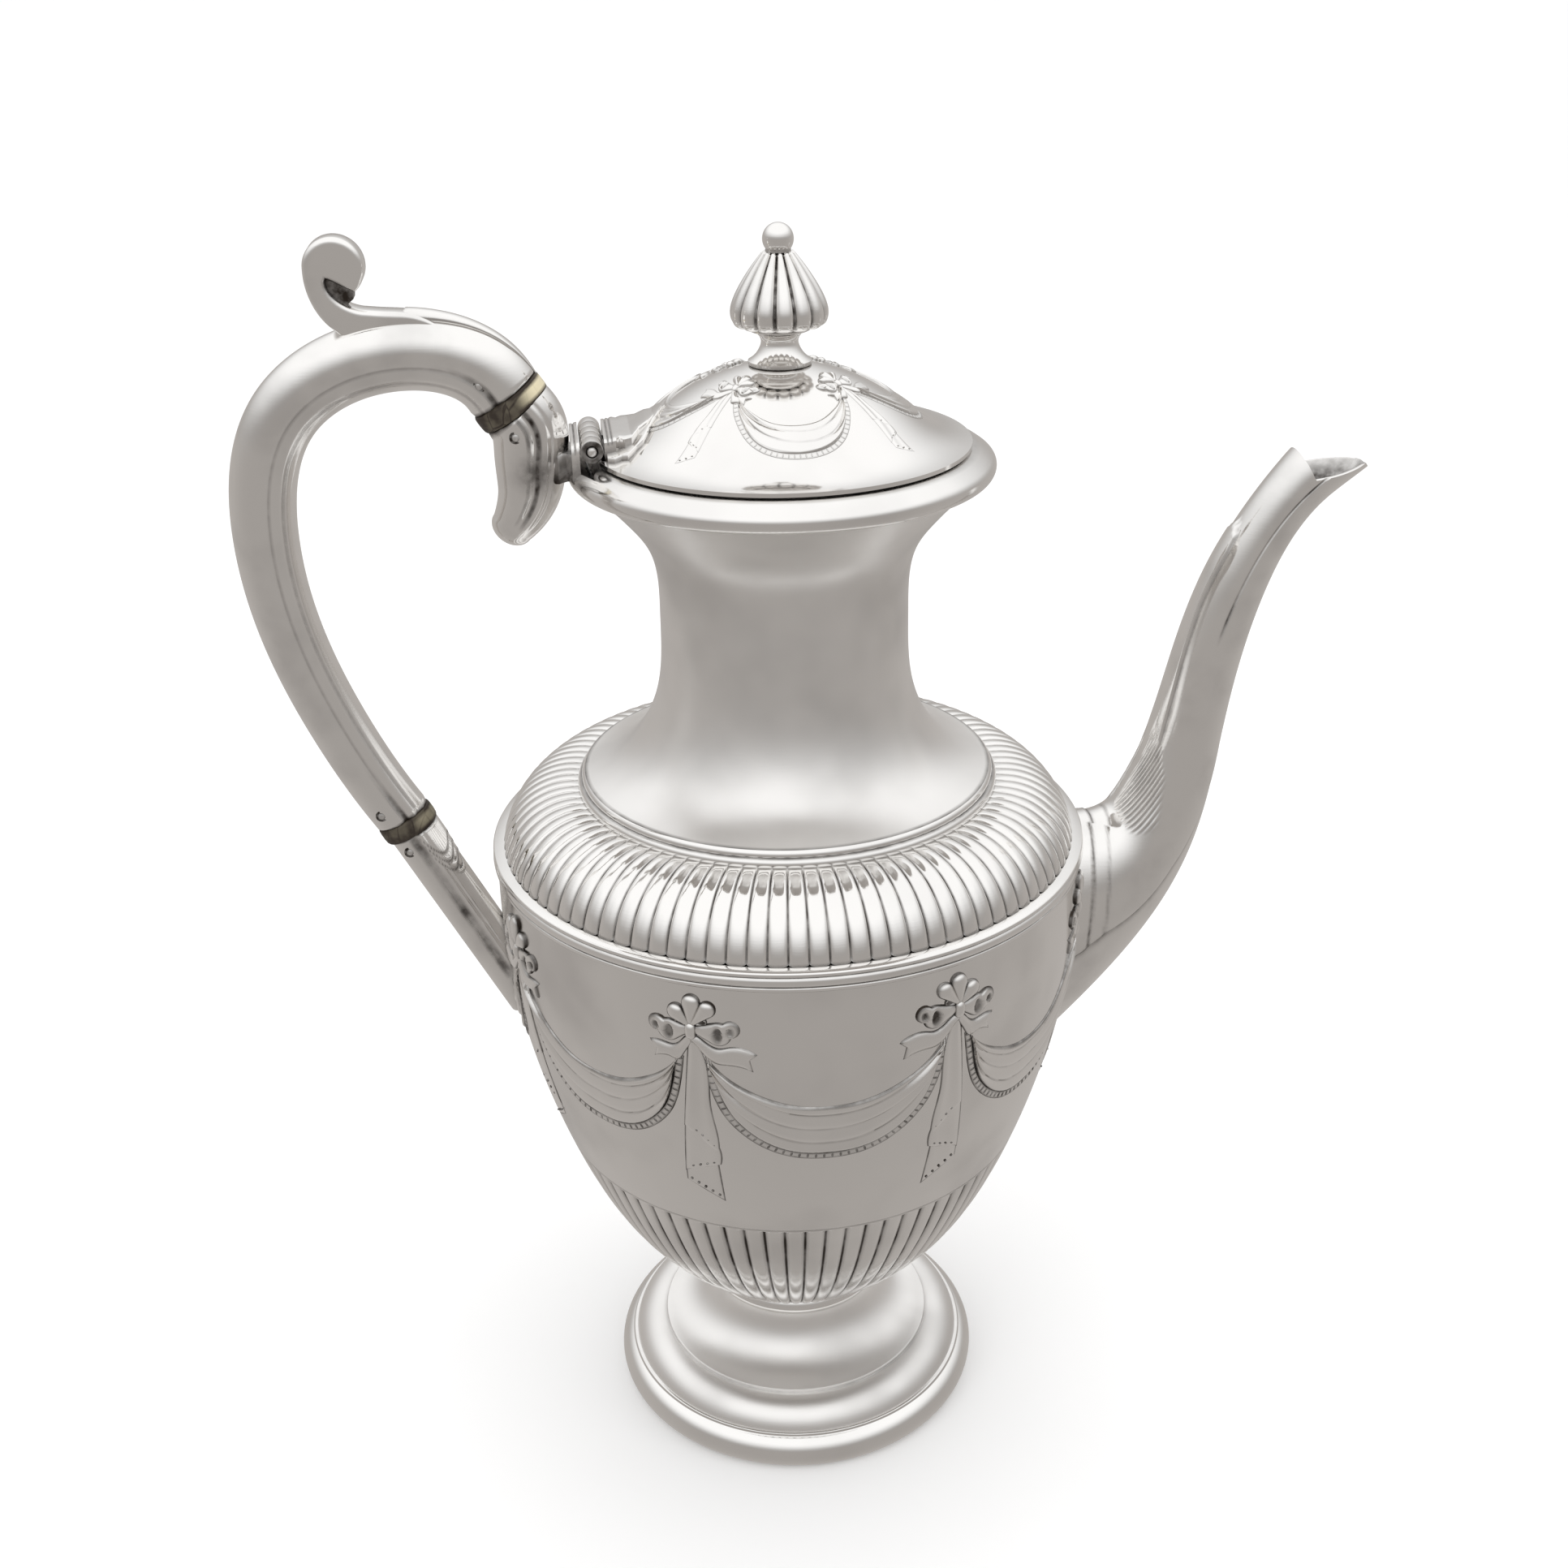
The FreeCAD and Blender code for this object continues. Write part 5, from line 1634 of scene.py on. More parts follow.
@dataclass
class Spout:
    """The swan-neck spout, with leaf rays, a tongue down its inner side and a cut beak."""

    stations: tuple = (
        (47.5, 104.6, 0, 61.4, 28.0),
        (61.5, 112.5, 2, 44.0, 26.0),
        (73.7, 124.1, 23, 26.8, 21.6),
        (79.3, 135.5, 52, 19.6, 17.4),
        (83.6, 152.5, 76, 14.8, 14.4),
        (91.0, 184.0, 73, 12.6, 12.4),
        (102.3, 204.0, 59, 11.6, 12.4),
        (111.2, 212.0, 46, 13.9, 15.5),
    )
    lip: tuple = (100.9, 211.7)
    notch: tuple = (103.3, 206.6)
    beak_end: tuple = (116.9, 208.6)
    wall: float = 1.0
    sunk: float = 0.35
    columns: int = 290
    rows: int = 250
    inner_rows: int = 40
    fine_rows: int = 620
    taper_start: float = 0.93
    taper: float = 0.86
    band_width: float = 3.5
    band_fade: float = 0.25
    band_low: tuple = (101.0, 105.0)
    band_height: float = 0.45
    second_line: float = 3.6
    second_depth: float = 0.12
    keel: tuple = ((0.0, 0.16, 0.3, 0.42, 0.5), (92.0, 98.0, 118.0, 146.0, 168.0))
    root_end: tuple = (0.38, 0.5)
    root_height: float = 0.32
    crease_depth: float = 0.4
    ray_reach: tuple = ((0.25, 0.33, 0.41, 0.48), (42, 74, 62, 30))
    ray_span: tuple = ((0.25, 0.29), (0.44, 0.49))
    ray_pitch: float = 5.4
    ray_slant: float = 150.0
    ray_height: float = 0.26
    tongue_width: tuple = ((0.42, 0.5, 0.7, 0.78, 0.81, 0.824), (38, 33, 25, 28, 25, 6))
    tongue_span: tuple = ((0.42, 0.5), (0.82, 0.828))
    tongue_height: float = 0.5
    flank: tuple = ((0.66, 0.8, 0.95), (78, 84, 92))
    flank_span: tuple = ((0.64, 0.68), (0.94, 0.97))
    flank_ends: tuple = ((0.69, 0.03), (0.91, 0.035))
    flank_depth: float = 0.3

    def surface(self, wall: float, dressed: bool) -> tuple[Array, Array]:
        """The spout's face before it is cut at the bowl and at the beak.

        Args:
            wall: How far inside the outer face it lies.
            dressed: Whether its ornament is raised on it.

        Returns:
            A grid of points along and round the spout, and their groove marks.
        """
        table = np.asarray(self.stations, float)
        places = run_lengths(table[:, :2])
        marks = np.linspace(0, places[-1], self.fine_rows)
        share = marks / places[-1]
        rows = smooth_table(places, table, marks)
        centres, lean = rows[:, :2], np.radians(rows[:, 2])
        along = np.stack([np.cos(lean), np.sin(lean)], -1)
        depth, width = rows[:, 3:4] / 2 - wall, rows[:, 4:5] / 2 - wall
        even = circle(self.columns)
        angles = even - 0.4 * np.sin(even)
        inward, across = depth * np.cos(angles), width * np.sin(angles)
        groove = np.zeros_like(inward)
        if dressed:
            raised, groove = self.ornament(across_path(centres, along, inward, across), share, angles)
            out = np.stack([width * np.cos(angles), depth * np.sin(angles)], -1)
            out /= np.linalg.norm(out, axis=-1)[..., None]
            inward, across = inward + out[..., 0] * raised, across + out[..., 1] * raised
        past = np.clip((share - self.taper_start) / (1 - self.taper_start), 0, 1)
        tip = np.sqrt(1 - self.taper * past**2)[:, None]
        return across_path(centres, along, inward, across * tip), groove

    def ornament(self, base: Array, share: Array, angles: Array) -> tuple[Array, Array]:
        """Heights and dark marks of all the ornament on the spout.

        Args:
            base: The bare outer face.
            share: Place of each ring along the spout, from 0 to 1.
            angles: Angle of each point round its ring, from the inner side.

        Returns:
            Height above the bare face and groove mark of each point.
        """
        x, y, z = np.moveaxis(base, -1, 0)
        off = np.hypot(x, y) - bowl_radius(z) - self.band_width
        side = np.degrees(np.abs((angles + math.pi) % TURN - math.pi)) * np.ones_like(x)
        here = share[:, None] * np.ones_like(x)
        keel, fan, width, flank = (
            np.interp(here, *table) for table in (self.keel, self.ray_reach, self.tongue_width, self.flank)
        )
        above = step_up(keel - side, -1.5, 1.5)
        lines_on = above * step_up(z, *self.band_low)
        near = 1 - step_up(here, *self.root_end)
        band = step_up(-off, -self.band_fade, 0.0) * above
        fall = hump(off, self.band_fade, 0.35) * lines_on
        second = hump(off, self.second_line, 0.3) * lines_on
        crease = hump(side, keel, 2.0) * near
        rays_on = window(here, *self.ray_span) * step_up(side, 6, 14) * step_up(fan - side, -2, 10)
        rays = 0.5 + 0.5 * np.cos(TURN * (self.ray_slant * here - side) / self.ray_pitch)
        tongue_on = window(here, *self.tongue_span)
        tongue = step_up(width - side, 0.0, 7.0) * tongue_on
        edge = hump(side, width, 3.0) * tongue_on
        line = hump(side, flank, 2.6) * window(here, *self.flank_span)
        ends = np.clip(sum(hump(here, *end) for end in self.flank_ends), 0, 1)
        raised = self.band_height * band + self.root_height * above * near + self.tongue_height * tongue
        raised += self.ray_height * rays_on * (rays - 0.3) - self.flank_depth * line
        raised -= self.crease_depth * crease + self.second_depth * second
        groove = 0.75 * fall + 0.5 * crease + 0.4 * second + 0.5 * rays_on * (1 - rays) ** 2 + 0.4 * edge
        return raised, np.clip(groove + line * (0.3 + 0.6 * ends), 0, 1)

    def cut(self, points: Array, groove: Array, rows: int) -> tuple[Array, Array]:
        """Cuts each line along the spout at the bowl and at the beak.

        Args:
            points: Grid of points along and round the spout.
            groove: Their groove marks.
            rows: Number of points to keep on each line.

        Returns:
            The cut grid and its marks.
        """
        x, y, z = np.moveaxis(points, -1, 0)
        inside = np.hypot(x, y) < bowl_radius(z) - self.sunk
        lip, notch, end = (np.array(point) for point in (self.lip, self.notch, self.beak_end))
        slope, back = (end - notch)[1] / (end - notch)[0], (notch - lip)[1] / (notch - lip)[0]
        over_lip, over_beak = z - lip[1] - back * (x - lip[0]), z - notch[1] - slope * (x - notch[0])
        over = np.where(x < lip[0] - 2.0, -1.0, np.where(x < notch[0], over_lip, over_beak))
        steps = np.arange(len(points), dtype=float)
        spread = np.linspace(0, 1, 400)
        crowd = np.cumsum(1 + 3 * hump(spread, 0.33, 0.16, 4))
        crowd = (crowd - crowd[0]) / (crowd[-1] - crowd[0])
        shares = np.interp(np.linspace(0, 1, rows), crowd, spread)
        marked = np.concatenate([points, groove[..., None]], -1)
        made = np.zeros((rows, *marked.shape[1:]))
        for column in range(points.shape[1]):
            first = float(np.max(np.nonzero(inside[:, column])[0], initial=0))
            past = np.nonzero(over[:, column] > 0)[0]
            last = steps[-1]
            if len(past):
                low = past[0] - 1
                before, after = over[low : low + 2, column]
                last = low + before / (before - after)
            at = first + (last - first) * shares
            for axis in range(marked.shape[-1]):
                made[:, column, axis] = np.interp(at, steps, marked[:, column, axis])
        return made[..., :3], made[..., 3]

    def build(self) -> None:
        """Builds and dresses the spout, with its inner wall and the rounded edge of its mouth."""
        outer, marks = self.cut(*self.surface(0.0, True), self.rows)
        inner, _ = self.cut(*self.surface(self.wall, False), self.inner_rows)
        edge = (outer[-1] + inner[-1]) / 2 + (0, 0, 0.18)
        rings = np.concatenate([outer, edge[None], inner[::-1]])
        # The inner wall is painted dark, its first ring less: painted shade inside the spout.
        groove = np.full(rings.shape[:2], 0.8)
        groove[: self.rows] = marks
        groove[self.rows] = 0.0
        groove[self.rows + 1] = 0.35
        draft = Draft()
        draft.skin(draft.add(rings, groove), rows_closed=True)
        draft.place("spout_swan_neck", Body.POT, CAST, "spout", sharp=60)


# The handle


@dataclass
class Handle:
    """The hollow scroll handle between its two sockets, with a bone band at each joint."""

    upper_joint: Point = (-50.6, 229.3)
    upper_heading: Point = (0.558, -0.830)
    lower_joint: Point = (-77.4, 146.2)
    lower_heading: Point = (0.448, -0.894)
    arch: tuple = ((-69.8, 237.3), (-90.3, 227.1), (-96.2, 203.2))
    upper_depth: float = 14.0
    lower_depth: float = 11.3
    belly: float = 48.0
    width_share: float = 0.45
    band: float = 3.75
    band_steps: tuple = (0.06, 0.2, 0.5, 1.2, 2.5, 3.2, 3.55, 3.69)
    band_swell: tuple = (-0.62, -0.24, -0.07, 0.0, 0.0, -0.07, -0.24, -0.62)
    proud: float = 0.15
    upper_stain: float = 0.03
    lower_stain: float = 0.74
    ring: int = 128
    drop: tuple = ((1.9, -8.4), (1.0, -15.4), (-2.6, -21.9))
    drop_places: tuple = (0, 0.36, 0.7, 1.0)
    drop_depths: tuple = (14.0, 13.6, 11.6, 8.2)
    drop_tip: float = 3.2
    solder: tuple = (-45.6, 215.5)
    solder_reach: float = 3.2
    tube_length: float = 46.0
    tube_depth: float = 9.9
    channel_end: tuple = (34.0, 40.0)
    lappets: tuple = (6.4, 8.6, 10.8)
    lappet_bend: float = 26.0
    lappet_swell: float = 0.035
    thumb_centre: tuple = (-78.2, 253.0)
    thumb_radius: float = 5.3
    thumb_half: float = 3.0
    thumb_corner: tuple = (3.4, -4.06)
    thumb_curl: tuple = ((4.2, -7.3), (2.0, -6.6), (0.3, -5.5), (-0.9, -4.2), (-1.5, -2.9), (-1.5, -1.7))
    thumb_edges: tuple = ((1.0, 1.15), (0.985, 0.75), (0.93, 0.38), (0.82, 0.12), (0.66, 0.0))
    web: tuple = ((-1.9, -1.3), (3.1, -3.5), (2.9, -5.4), (1.4, -6.6), (-0.9, -4.9))
    web_half: float = 1.9
    crest_high: tuple = ((0, 0.25, 0.7, 0.94, 1), (0.05, 0.45, 1.1, 1.5, 0.4))
    crest_half: tuple = ((0, 0.25, 0.7, 1), (0.6, 1.7, 2.4, 2.7))
    peg_places: tuple = (
        *((-54.8, 232.0, 5.1), (-49.1, 222.6, 5.92)),
        *((-81.0, 148.3, 4.73), (-76.4, 139.6, 4.06)),
    )
    spine: Array = field(init=False)
    share: Array = field(init=False)

    def __post_init__(self) -> None:
        """Draws the path of the grip."""
        for name in ("upper_joint", "upper_heading", "lower_joint", "lower_heading"):
            setattr(self, name, np.array(getattr(self, name)))
        high, low = self.upper_joint, self.lower_joint
        knots = (high, high - 3 * self.upper_heading, *self.arch, low - 22 * self.lower_heading, low)
        self.spine = smooth_line(knots, 210)
        self.share = run_lengths(self.spine) / run_lengths(self.spine)[-1]

    def section(self, depth: Array, channel: Array, shift: float, hollow: float = 0.16) -> list[Array]:
        """Oval rings with a channel along each side.

        Args:
            depth: Depth of each ring.
            channel: How far the channel is worked in each ring, from 0 to 1.
            shift: Place of the channel, from -1 at the outer side to 1 at the inner side.
            hollow: Share of the width that a full channel takes.

        Returns:
            Offsets inward and across.
        """
        angles = circle(self.ring)
        aside = np.cos(angles) - shift
        dip = 0.55 * hump(aside, 0.0, 0.24, 3) + 0.4 * hump(aside, 0.0, 0.07) + 0.3 * hump(aside, 0.42, 0.05)
        inward = depth[:, None] / 2 * np.cos(angles)
        across = self.width_share * depth[:, None] * np.sin(angles) * (1 - hollow * channel[:, None] * dip)
        return [inward, across]

    def channel_marks(self, channel: Array, shift: float, width: float) -> Array:
        """Groove marks along the floor of the side channel."""
        return channel[:, None] * hump(np.cos(circle(self.ring)), shift, width, 4)

    def grip_depth(self) -> Array:
        """Depth of the grip along its length.

        Returns:
            The depth at each point of the path.
        """
        part, rest = self.share, 1 - self.share
        ends = self.upper_depth * rest * (1 - 2 * part) + self.lower_depth * part * (2 * part - 1)
        return 0.995 * (ends + self.belly * part * rest)

    def grip(self) -> None:
        """Draws the hollow grip."""
        ends = np.clip(hump(self.share, 0.0, 0.1) + hump(self.share, 1.0, 0.09), 0, 1)
        along = directions(self.spine)
        along[0], along[-1] = -self.upper_heading, self.lower_heading
        rings = across_path(self.spine, along, *self.section(self.grip_depth(), 0.68 + 0.32 * ends, 0.25))
        draw_in(rings, 0, -1)
        groove = self.channel_marks(ends**2, 0.24, 0.11) * 0.85
        for spot in (0.25, 0.67):
            groove = np.maximum(groove, self.channel_marks(np.full(len(ends), 0.3), spot, 0.045))
        groove[[0, -1]] = 1.0
        Draft().tube(rings, groove, 1.0).place("handle_grip_scroll", Body.POT, CAST, "handle_grip")

    def upper_socket(self) -> None:
        """Draws the curved socket that joins the handle to the rim."""
        start = self.upper_joint + self.band * self.upper_heading
        knots = (start, start + 3 * self.upper_heading, *(start + step for step in self.drop))
        path = smooth_line(knots, 90)
        lengths = run_lengths(path)
        sizes = np.array(self.drop_depths)[:, None]
        depth = smooth_table(np.array(self.drop_places) * lengths[-1], sizes, lengths)[:, 0]
        along = directions(path)
        along[0] = self.upper_heading
        quarter_turn = np.linspace(0.12, 1.0, 12) * math.pi / 2
        path = np.vstack([path, path[-1] + along[-1] * (self.drop_tip * np.sin(quarter_turn))[:, None]])
        along = np.vstack([along, np.repeat(along[-1:], len(quarter_turn), 0)])
        depth = np.concatenate([depth, depth[-1] * np.maximum(np.cos(quarter_turn), 0.04)])
        share = np.linspace(0, 1, len(path))
        channel = 1 - step_up(share, 0.72, 0.86)
        rings = across_path(path, along, *self.section(depth, channel, 0.1))
        draw_in(rings, 0)
        wander = 0.9 + 0.1 * np.sin(17 * share + 1.2 * np.sin(23 * share))
        from_solder = np.hypot(rings[..., 0] - self.solder[0], rings[..., 2] - self.solder[1])
        solder = hump(from_solder, 0.0, self.solder_reach)
        groove = np.maximum(self.channel_marks(channel * wander, 0.19, 0.08), 0.8 * solder)
        groove = np.maximum(groove, self.channel_marks(0.75 * channel * wander**3, -0.06, 0.06))
        groove[0] = 1.0
        Draft().tube(rings, groove, 0.2).place("upper_socket_scroll", Body.POT, CAST, "upper_socket")

    def lower_socket(self) -> None:
        """Draws the straight socket that runs down into the bowl."""
        heading = self.lower_heading
        lengths = np.linspace(0, self.tube_length, 120)
        path = self.lower_joint + self.band * heading + heading * lengths[:, None]
        lengths = run_lengths(path)
        channel = 1 - step_up(lengths, *self.channel_end)
        inward, across = self.section(np.full(len(path), self.tube_depth), channel, 0.02, 0.15)
        round_tube = np.cos(circle(self.ring))
        inner = step_up(round_tube, 0.18, 0.3)
        from_top = lengths[:, None] + self.lappet_bend * (round_tube - 0.7) ** 2
        lines = sum(hump(from_top, reach, 0.35) for reach in self.lappets) * inner
        steps = sum(step_up(-from_top, -reach - 0.2, -reach + 0.2) for reach in self.lappets) * inner
        swell = 1 + self.lappet_swell * steps
        rings = across_path(path, np.repeat(heading[None], len(path), 0), inward * swell, across * swell)
        draw_in(rings, 0)
        radius = np.hypot(rings[..., 0], rings[..., 1])
        limit = bowl_radius(rings[..., 2]) - 0.5
        rings[..., :2] *= np.where(radius < limit, limit / np.maximum(radius, TINY), 1.0)[..., None]
        worn = 0.62 + 0.3 * np.sin(lengths * 0.42 + np.sin(lengths * 0.31))
        groove = np.maximum(self.channel_marks(channel * worn, 0.02, 0.2) * 0.9, 0.75 * lines)
        at_bowl = hump(np.hypot(rings[..., 0], rings[..., 1]), limit, 0.9)
        groove = np.maximum(groove, 0.6 * at_bowl)
        groove[0] = 1.0
        Draft().tube(rings, np.clip(groove, 0, 1)).place("lower_socket_tube", Body.POT, CAST, "lower_socket")

    def bone_band(self, joint: Array, way: Array, depth: float, stained: float) -> Draft:
        """A bone band with rounded edges between a joint's two ends.

        Args:
            joint: Where the grip ends.
            way: The way from the grip to the socket.
            depth: Depth of the band.
            stained: How dark its outer side is, from 0 to 1.

        Returns:
            The drawn band.
        """
        steps = np.array(self.band_steps)
        size = depth + 2 * (self.proud + np.array(self.band_swell))
        sections = self.section(size, np.full(len(steps), 0.35), 0.15)
        rings = across_path(joint + way * steps[:, None], np.repeat(way[None], len(steps), 0), *sections)
        inner_side = step_up(-np.cos(circle(self.ring)), -0.8, -0.1) * np.ones((len(steps), 1))
        groove = stained + (1 - stained) * inner_side
        groove[[0, 1, 2, -3, -2, -1]] = 1.0
        return Draft().tube(rings, groove, 1.0)

    def upright(self, flat: Array, half: float) -> Array:
        """A ring drawn in the pot's middle plane about the thumb piece, moved half across."""
        spots = np.array(self.thumb_centre) + flat
        return np.stack([spots[:, 0], np.full(len(spots), half), spots[:, 1]], -1)

    def thumb_scroll(self) -> None:
        """Draws the curled thumb piece with the ridge that runs from it along the arch."""
        disc = np.radians(np.linspace(-50, 180, 60))
        outline = joined(
            self.thumb_radius * np.stack([np.cos(disc), np.sin(disc)], -1),
            smooth_line(((-5.3, 0), (-5.1, -3.4), (-4.1, -6.6), (-2.5, -9.2), (-0.6, -11)), 24),
            [(1.0, -12.6), (10.0, -12.0), (21.0, -15.0)],
            smooth_line(((21, -13.6), (19, -11.7), (16, -9.6), (12, -8.1), (8, -7.7), (4.2, -7.3)), 30),
            smooth_line(self.thumb_curl, 24),
            smooth_line(((-1.5, -1.7), (-0.4, -2.3), (0.9, -3.0), (2.2, -3.6), self.thumb_corner), 14),
        )[:-1]
        inwards = left_of(directions(np.vstack([outline[-1:], outline, outline[:1]]))[1:-1])
        from_corner = np.linalg.norm(outline - self.thumb_corner, axis=1)
        along_tail = np.interp(outline[:, 0], (10.0, 19.0), (1.0, 0.4))
        thin = np.minimum(along_tail, np.interp(from_corner, (0, 3), (0.3, 1)))[:, None]
        levels = [(-side, inset) for side, inset in self.thumb_edges] + list(self.thumb_edges[::-1])
        inwards = inwards * thin
        rings = [self.upright(outline + inwards * inset, side * self.thumb_half) for side, inset in levels]
        # Painted shade in the curl: its notch is darkened and the web sunk inside it is painted fully dark.
        notch = hump(np.hypot(outline[:, 0], outline[:, 1] + 3.2), 0.0, 2.6, 4)
        edge = np.array([0, 0, 0.5, 1, 1, 1, 1, 0.5, 0, 0])[:, None]
        draft = Draft().tube(np.array(rings), 0.95 * notch * edge, None)
        web = [self.upright(np.array(self.web), half) for half in (-self.web_half, self.web_half)]
        draft.tube(np.array(web), 1.0, None)
        self.crest(draft)
        draft.place("thumb_scroll_leaf", Body.POT, CAST, "thumb_scroll", sharp=60)

    def crest(self, draft: Draft) -> None:
        """Adds the low ridge that lies along the top of the arch.

        Args:
            draft: The form to add to.
        """
        along = directions(self.spine)
        top = self.spine - left_of(along) * self.grip_depth()[:, None] / 2
        keep = (self.spine[:, 0] > -68.5) & (self.share < 0.4)
        top, along = top[keep], along[keep]
        part = np.linspace(0, 1, len(top))
        high = np.interp(part, *self.crest_high)[:, None]
        half = np.interp(part, *self.crest_half)[:, None]
        angles = circle(32)
        rings = across_path(top, along, -high * np.cos(angles), half * np.sin(angles))
        draft.tube(rings, 0.35 * hump(np.cos(angles), 0.0, 0.25))

    def pegs(self) -> None:
        """Sets the domed heads of the four pegs that pin the bone to the handle."""
        profile = joined(
            [(0, -0.8), (1.15, -0.8), (1.15, 0.05), (1.0, 0.08), (0.78, 0.02)],
            [(0.7, 0.14), (0.48, 0.27), (0.2, 0.33), (0, 0.34)],
        )
        marks = np.array([1.0, 1.0, 1.0, 1.0, 1.0, 0.8, 0.3, 0.25, 0.25])
        shape = turned(profile, 24, marks).make("peg_head", 80)
        sides = (-1.0, 1.0)
        spots = [(x, side * half, z) for side in sides for x, z, half in self.peg_places]
        out = [(0.0, side, 0.0) for side in sides for _ in self.peg_places]
        piece = set_in_places("insulator_peg_heads", shape, spots, out, (1.0, 0.0, 0.0), PINS)
        place(piece, Body.POT, PINS, "insulator_pegs")

    def build(self) -> None:
        """Builds and dresses the handle."""
        self.grip()
        self.upper_socket()
        self.lower_socket()
        self.thumb_scroll()
        upper = self.bone_band(self.upper_joint, self.upper_heading, self.upper_depth, self.upper_stain)
        lower = self.bone_band(self.lower_joint, self.lower_heading, self.lower_depth, self.lower_stain)
        upper.place("upper_bone_band", Body.POT, BONE, "upper_insulator")
        lower.place("lower_bone_band", Body.POT, BONE, "lower_insulator")
        self.pegs()


# The hinge


def along_middle(*pairs: Point) -> Height:
    """Heights that change only along the pot's middle."""
    table = np.asarray(pairs, float)
    return lambda x, y: np.interp(x, table[:, 0], table[:, 1])


def over_lid(rise: float) -> Height:
    """Heights that follow the lid's face at a rise above it."""
    line = smooth_line(LID_LINE, 120)[::-1]
    return lambda x, y: np.interp(np.hypot(x, y), line[:, 0], line[:, 1]) + rise


@dataclass(frozen=True)
class Plate:
    """A shaped plate that is alike on both sides of the pot's middle: its half-width at each x."""

    name: str
    outline: tuple
    top: Height
    foot: Height
    lines: tuple = ()
    stain: float = 0.0
    line_width: float = 0.16
    line_depth: float = 0.22
    line_shade: float = 0.8
    across: tuple = (-1.0, -1.0, -0.985, -0.93, -0.8, -0.5, 0.0, 0.5, 0.8, 0.93, 0.985, 1.0, 1.0)
    levels: tuple = (0.0, 0.7, 0.9, 0.98, 1.0, 1.0, 1.0, 1.0, 1.0, 0.98, 0.9, 0.7, 0.0)

    def make(self) -> Piece:
        """Draws the plate with its engraved lines.

        Returns:
            The piece.
        """
        outline, level = np.array(self.outline), np.array(self.levels)
        x = np.linspace(outline[0, 0], outline[-1, 0], 90)[:, None]
        cut = sum((hump(x, line, self.line_width) for line in self.lines), np.zeros_like(x)) * (level > 0.8)
        side = np.interp(x, outline[:, 0], outline[:, 1]) * self.across
        x = x * np.ones(len(level))
        low, high = self.foot(x, side), self.top(x, side)
        points = np.stack([x, side, low + (high - low) * level - self.line_depth * cut], -1)
        # The plate is painted fully dark along its foot, where it meets the face below: painted shade.
        marks = np.maximum(np.maximum(self.line_shade * cut, level < 0.1), self.stain)
        return Draft().tube(points, marks, self.stain).make(self.name, 40)


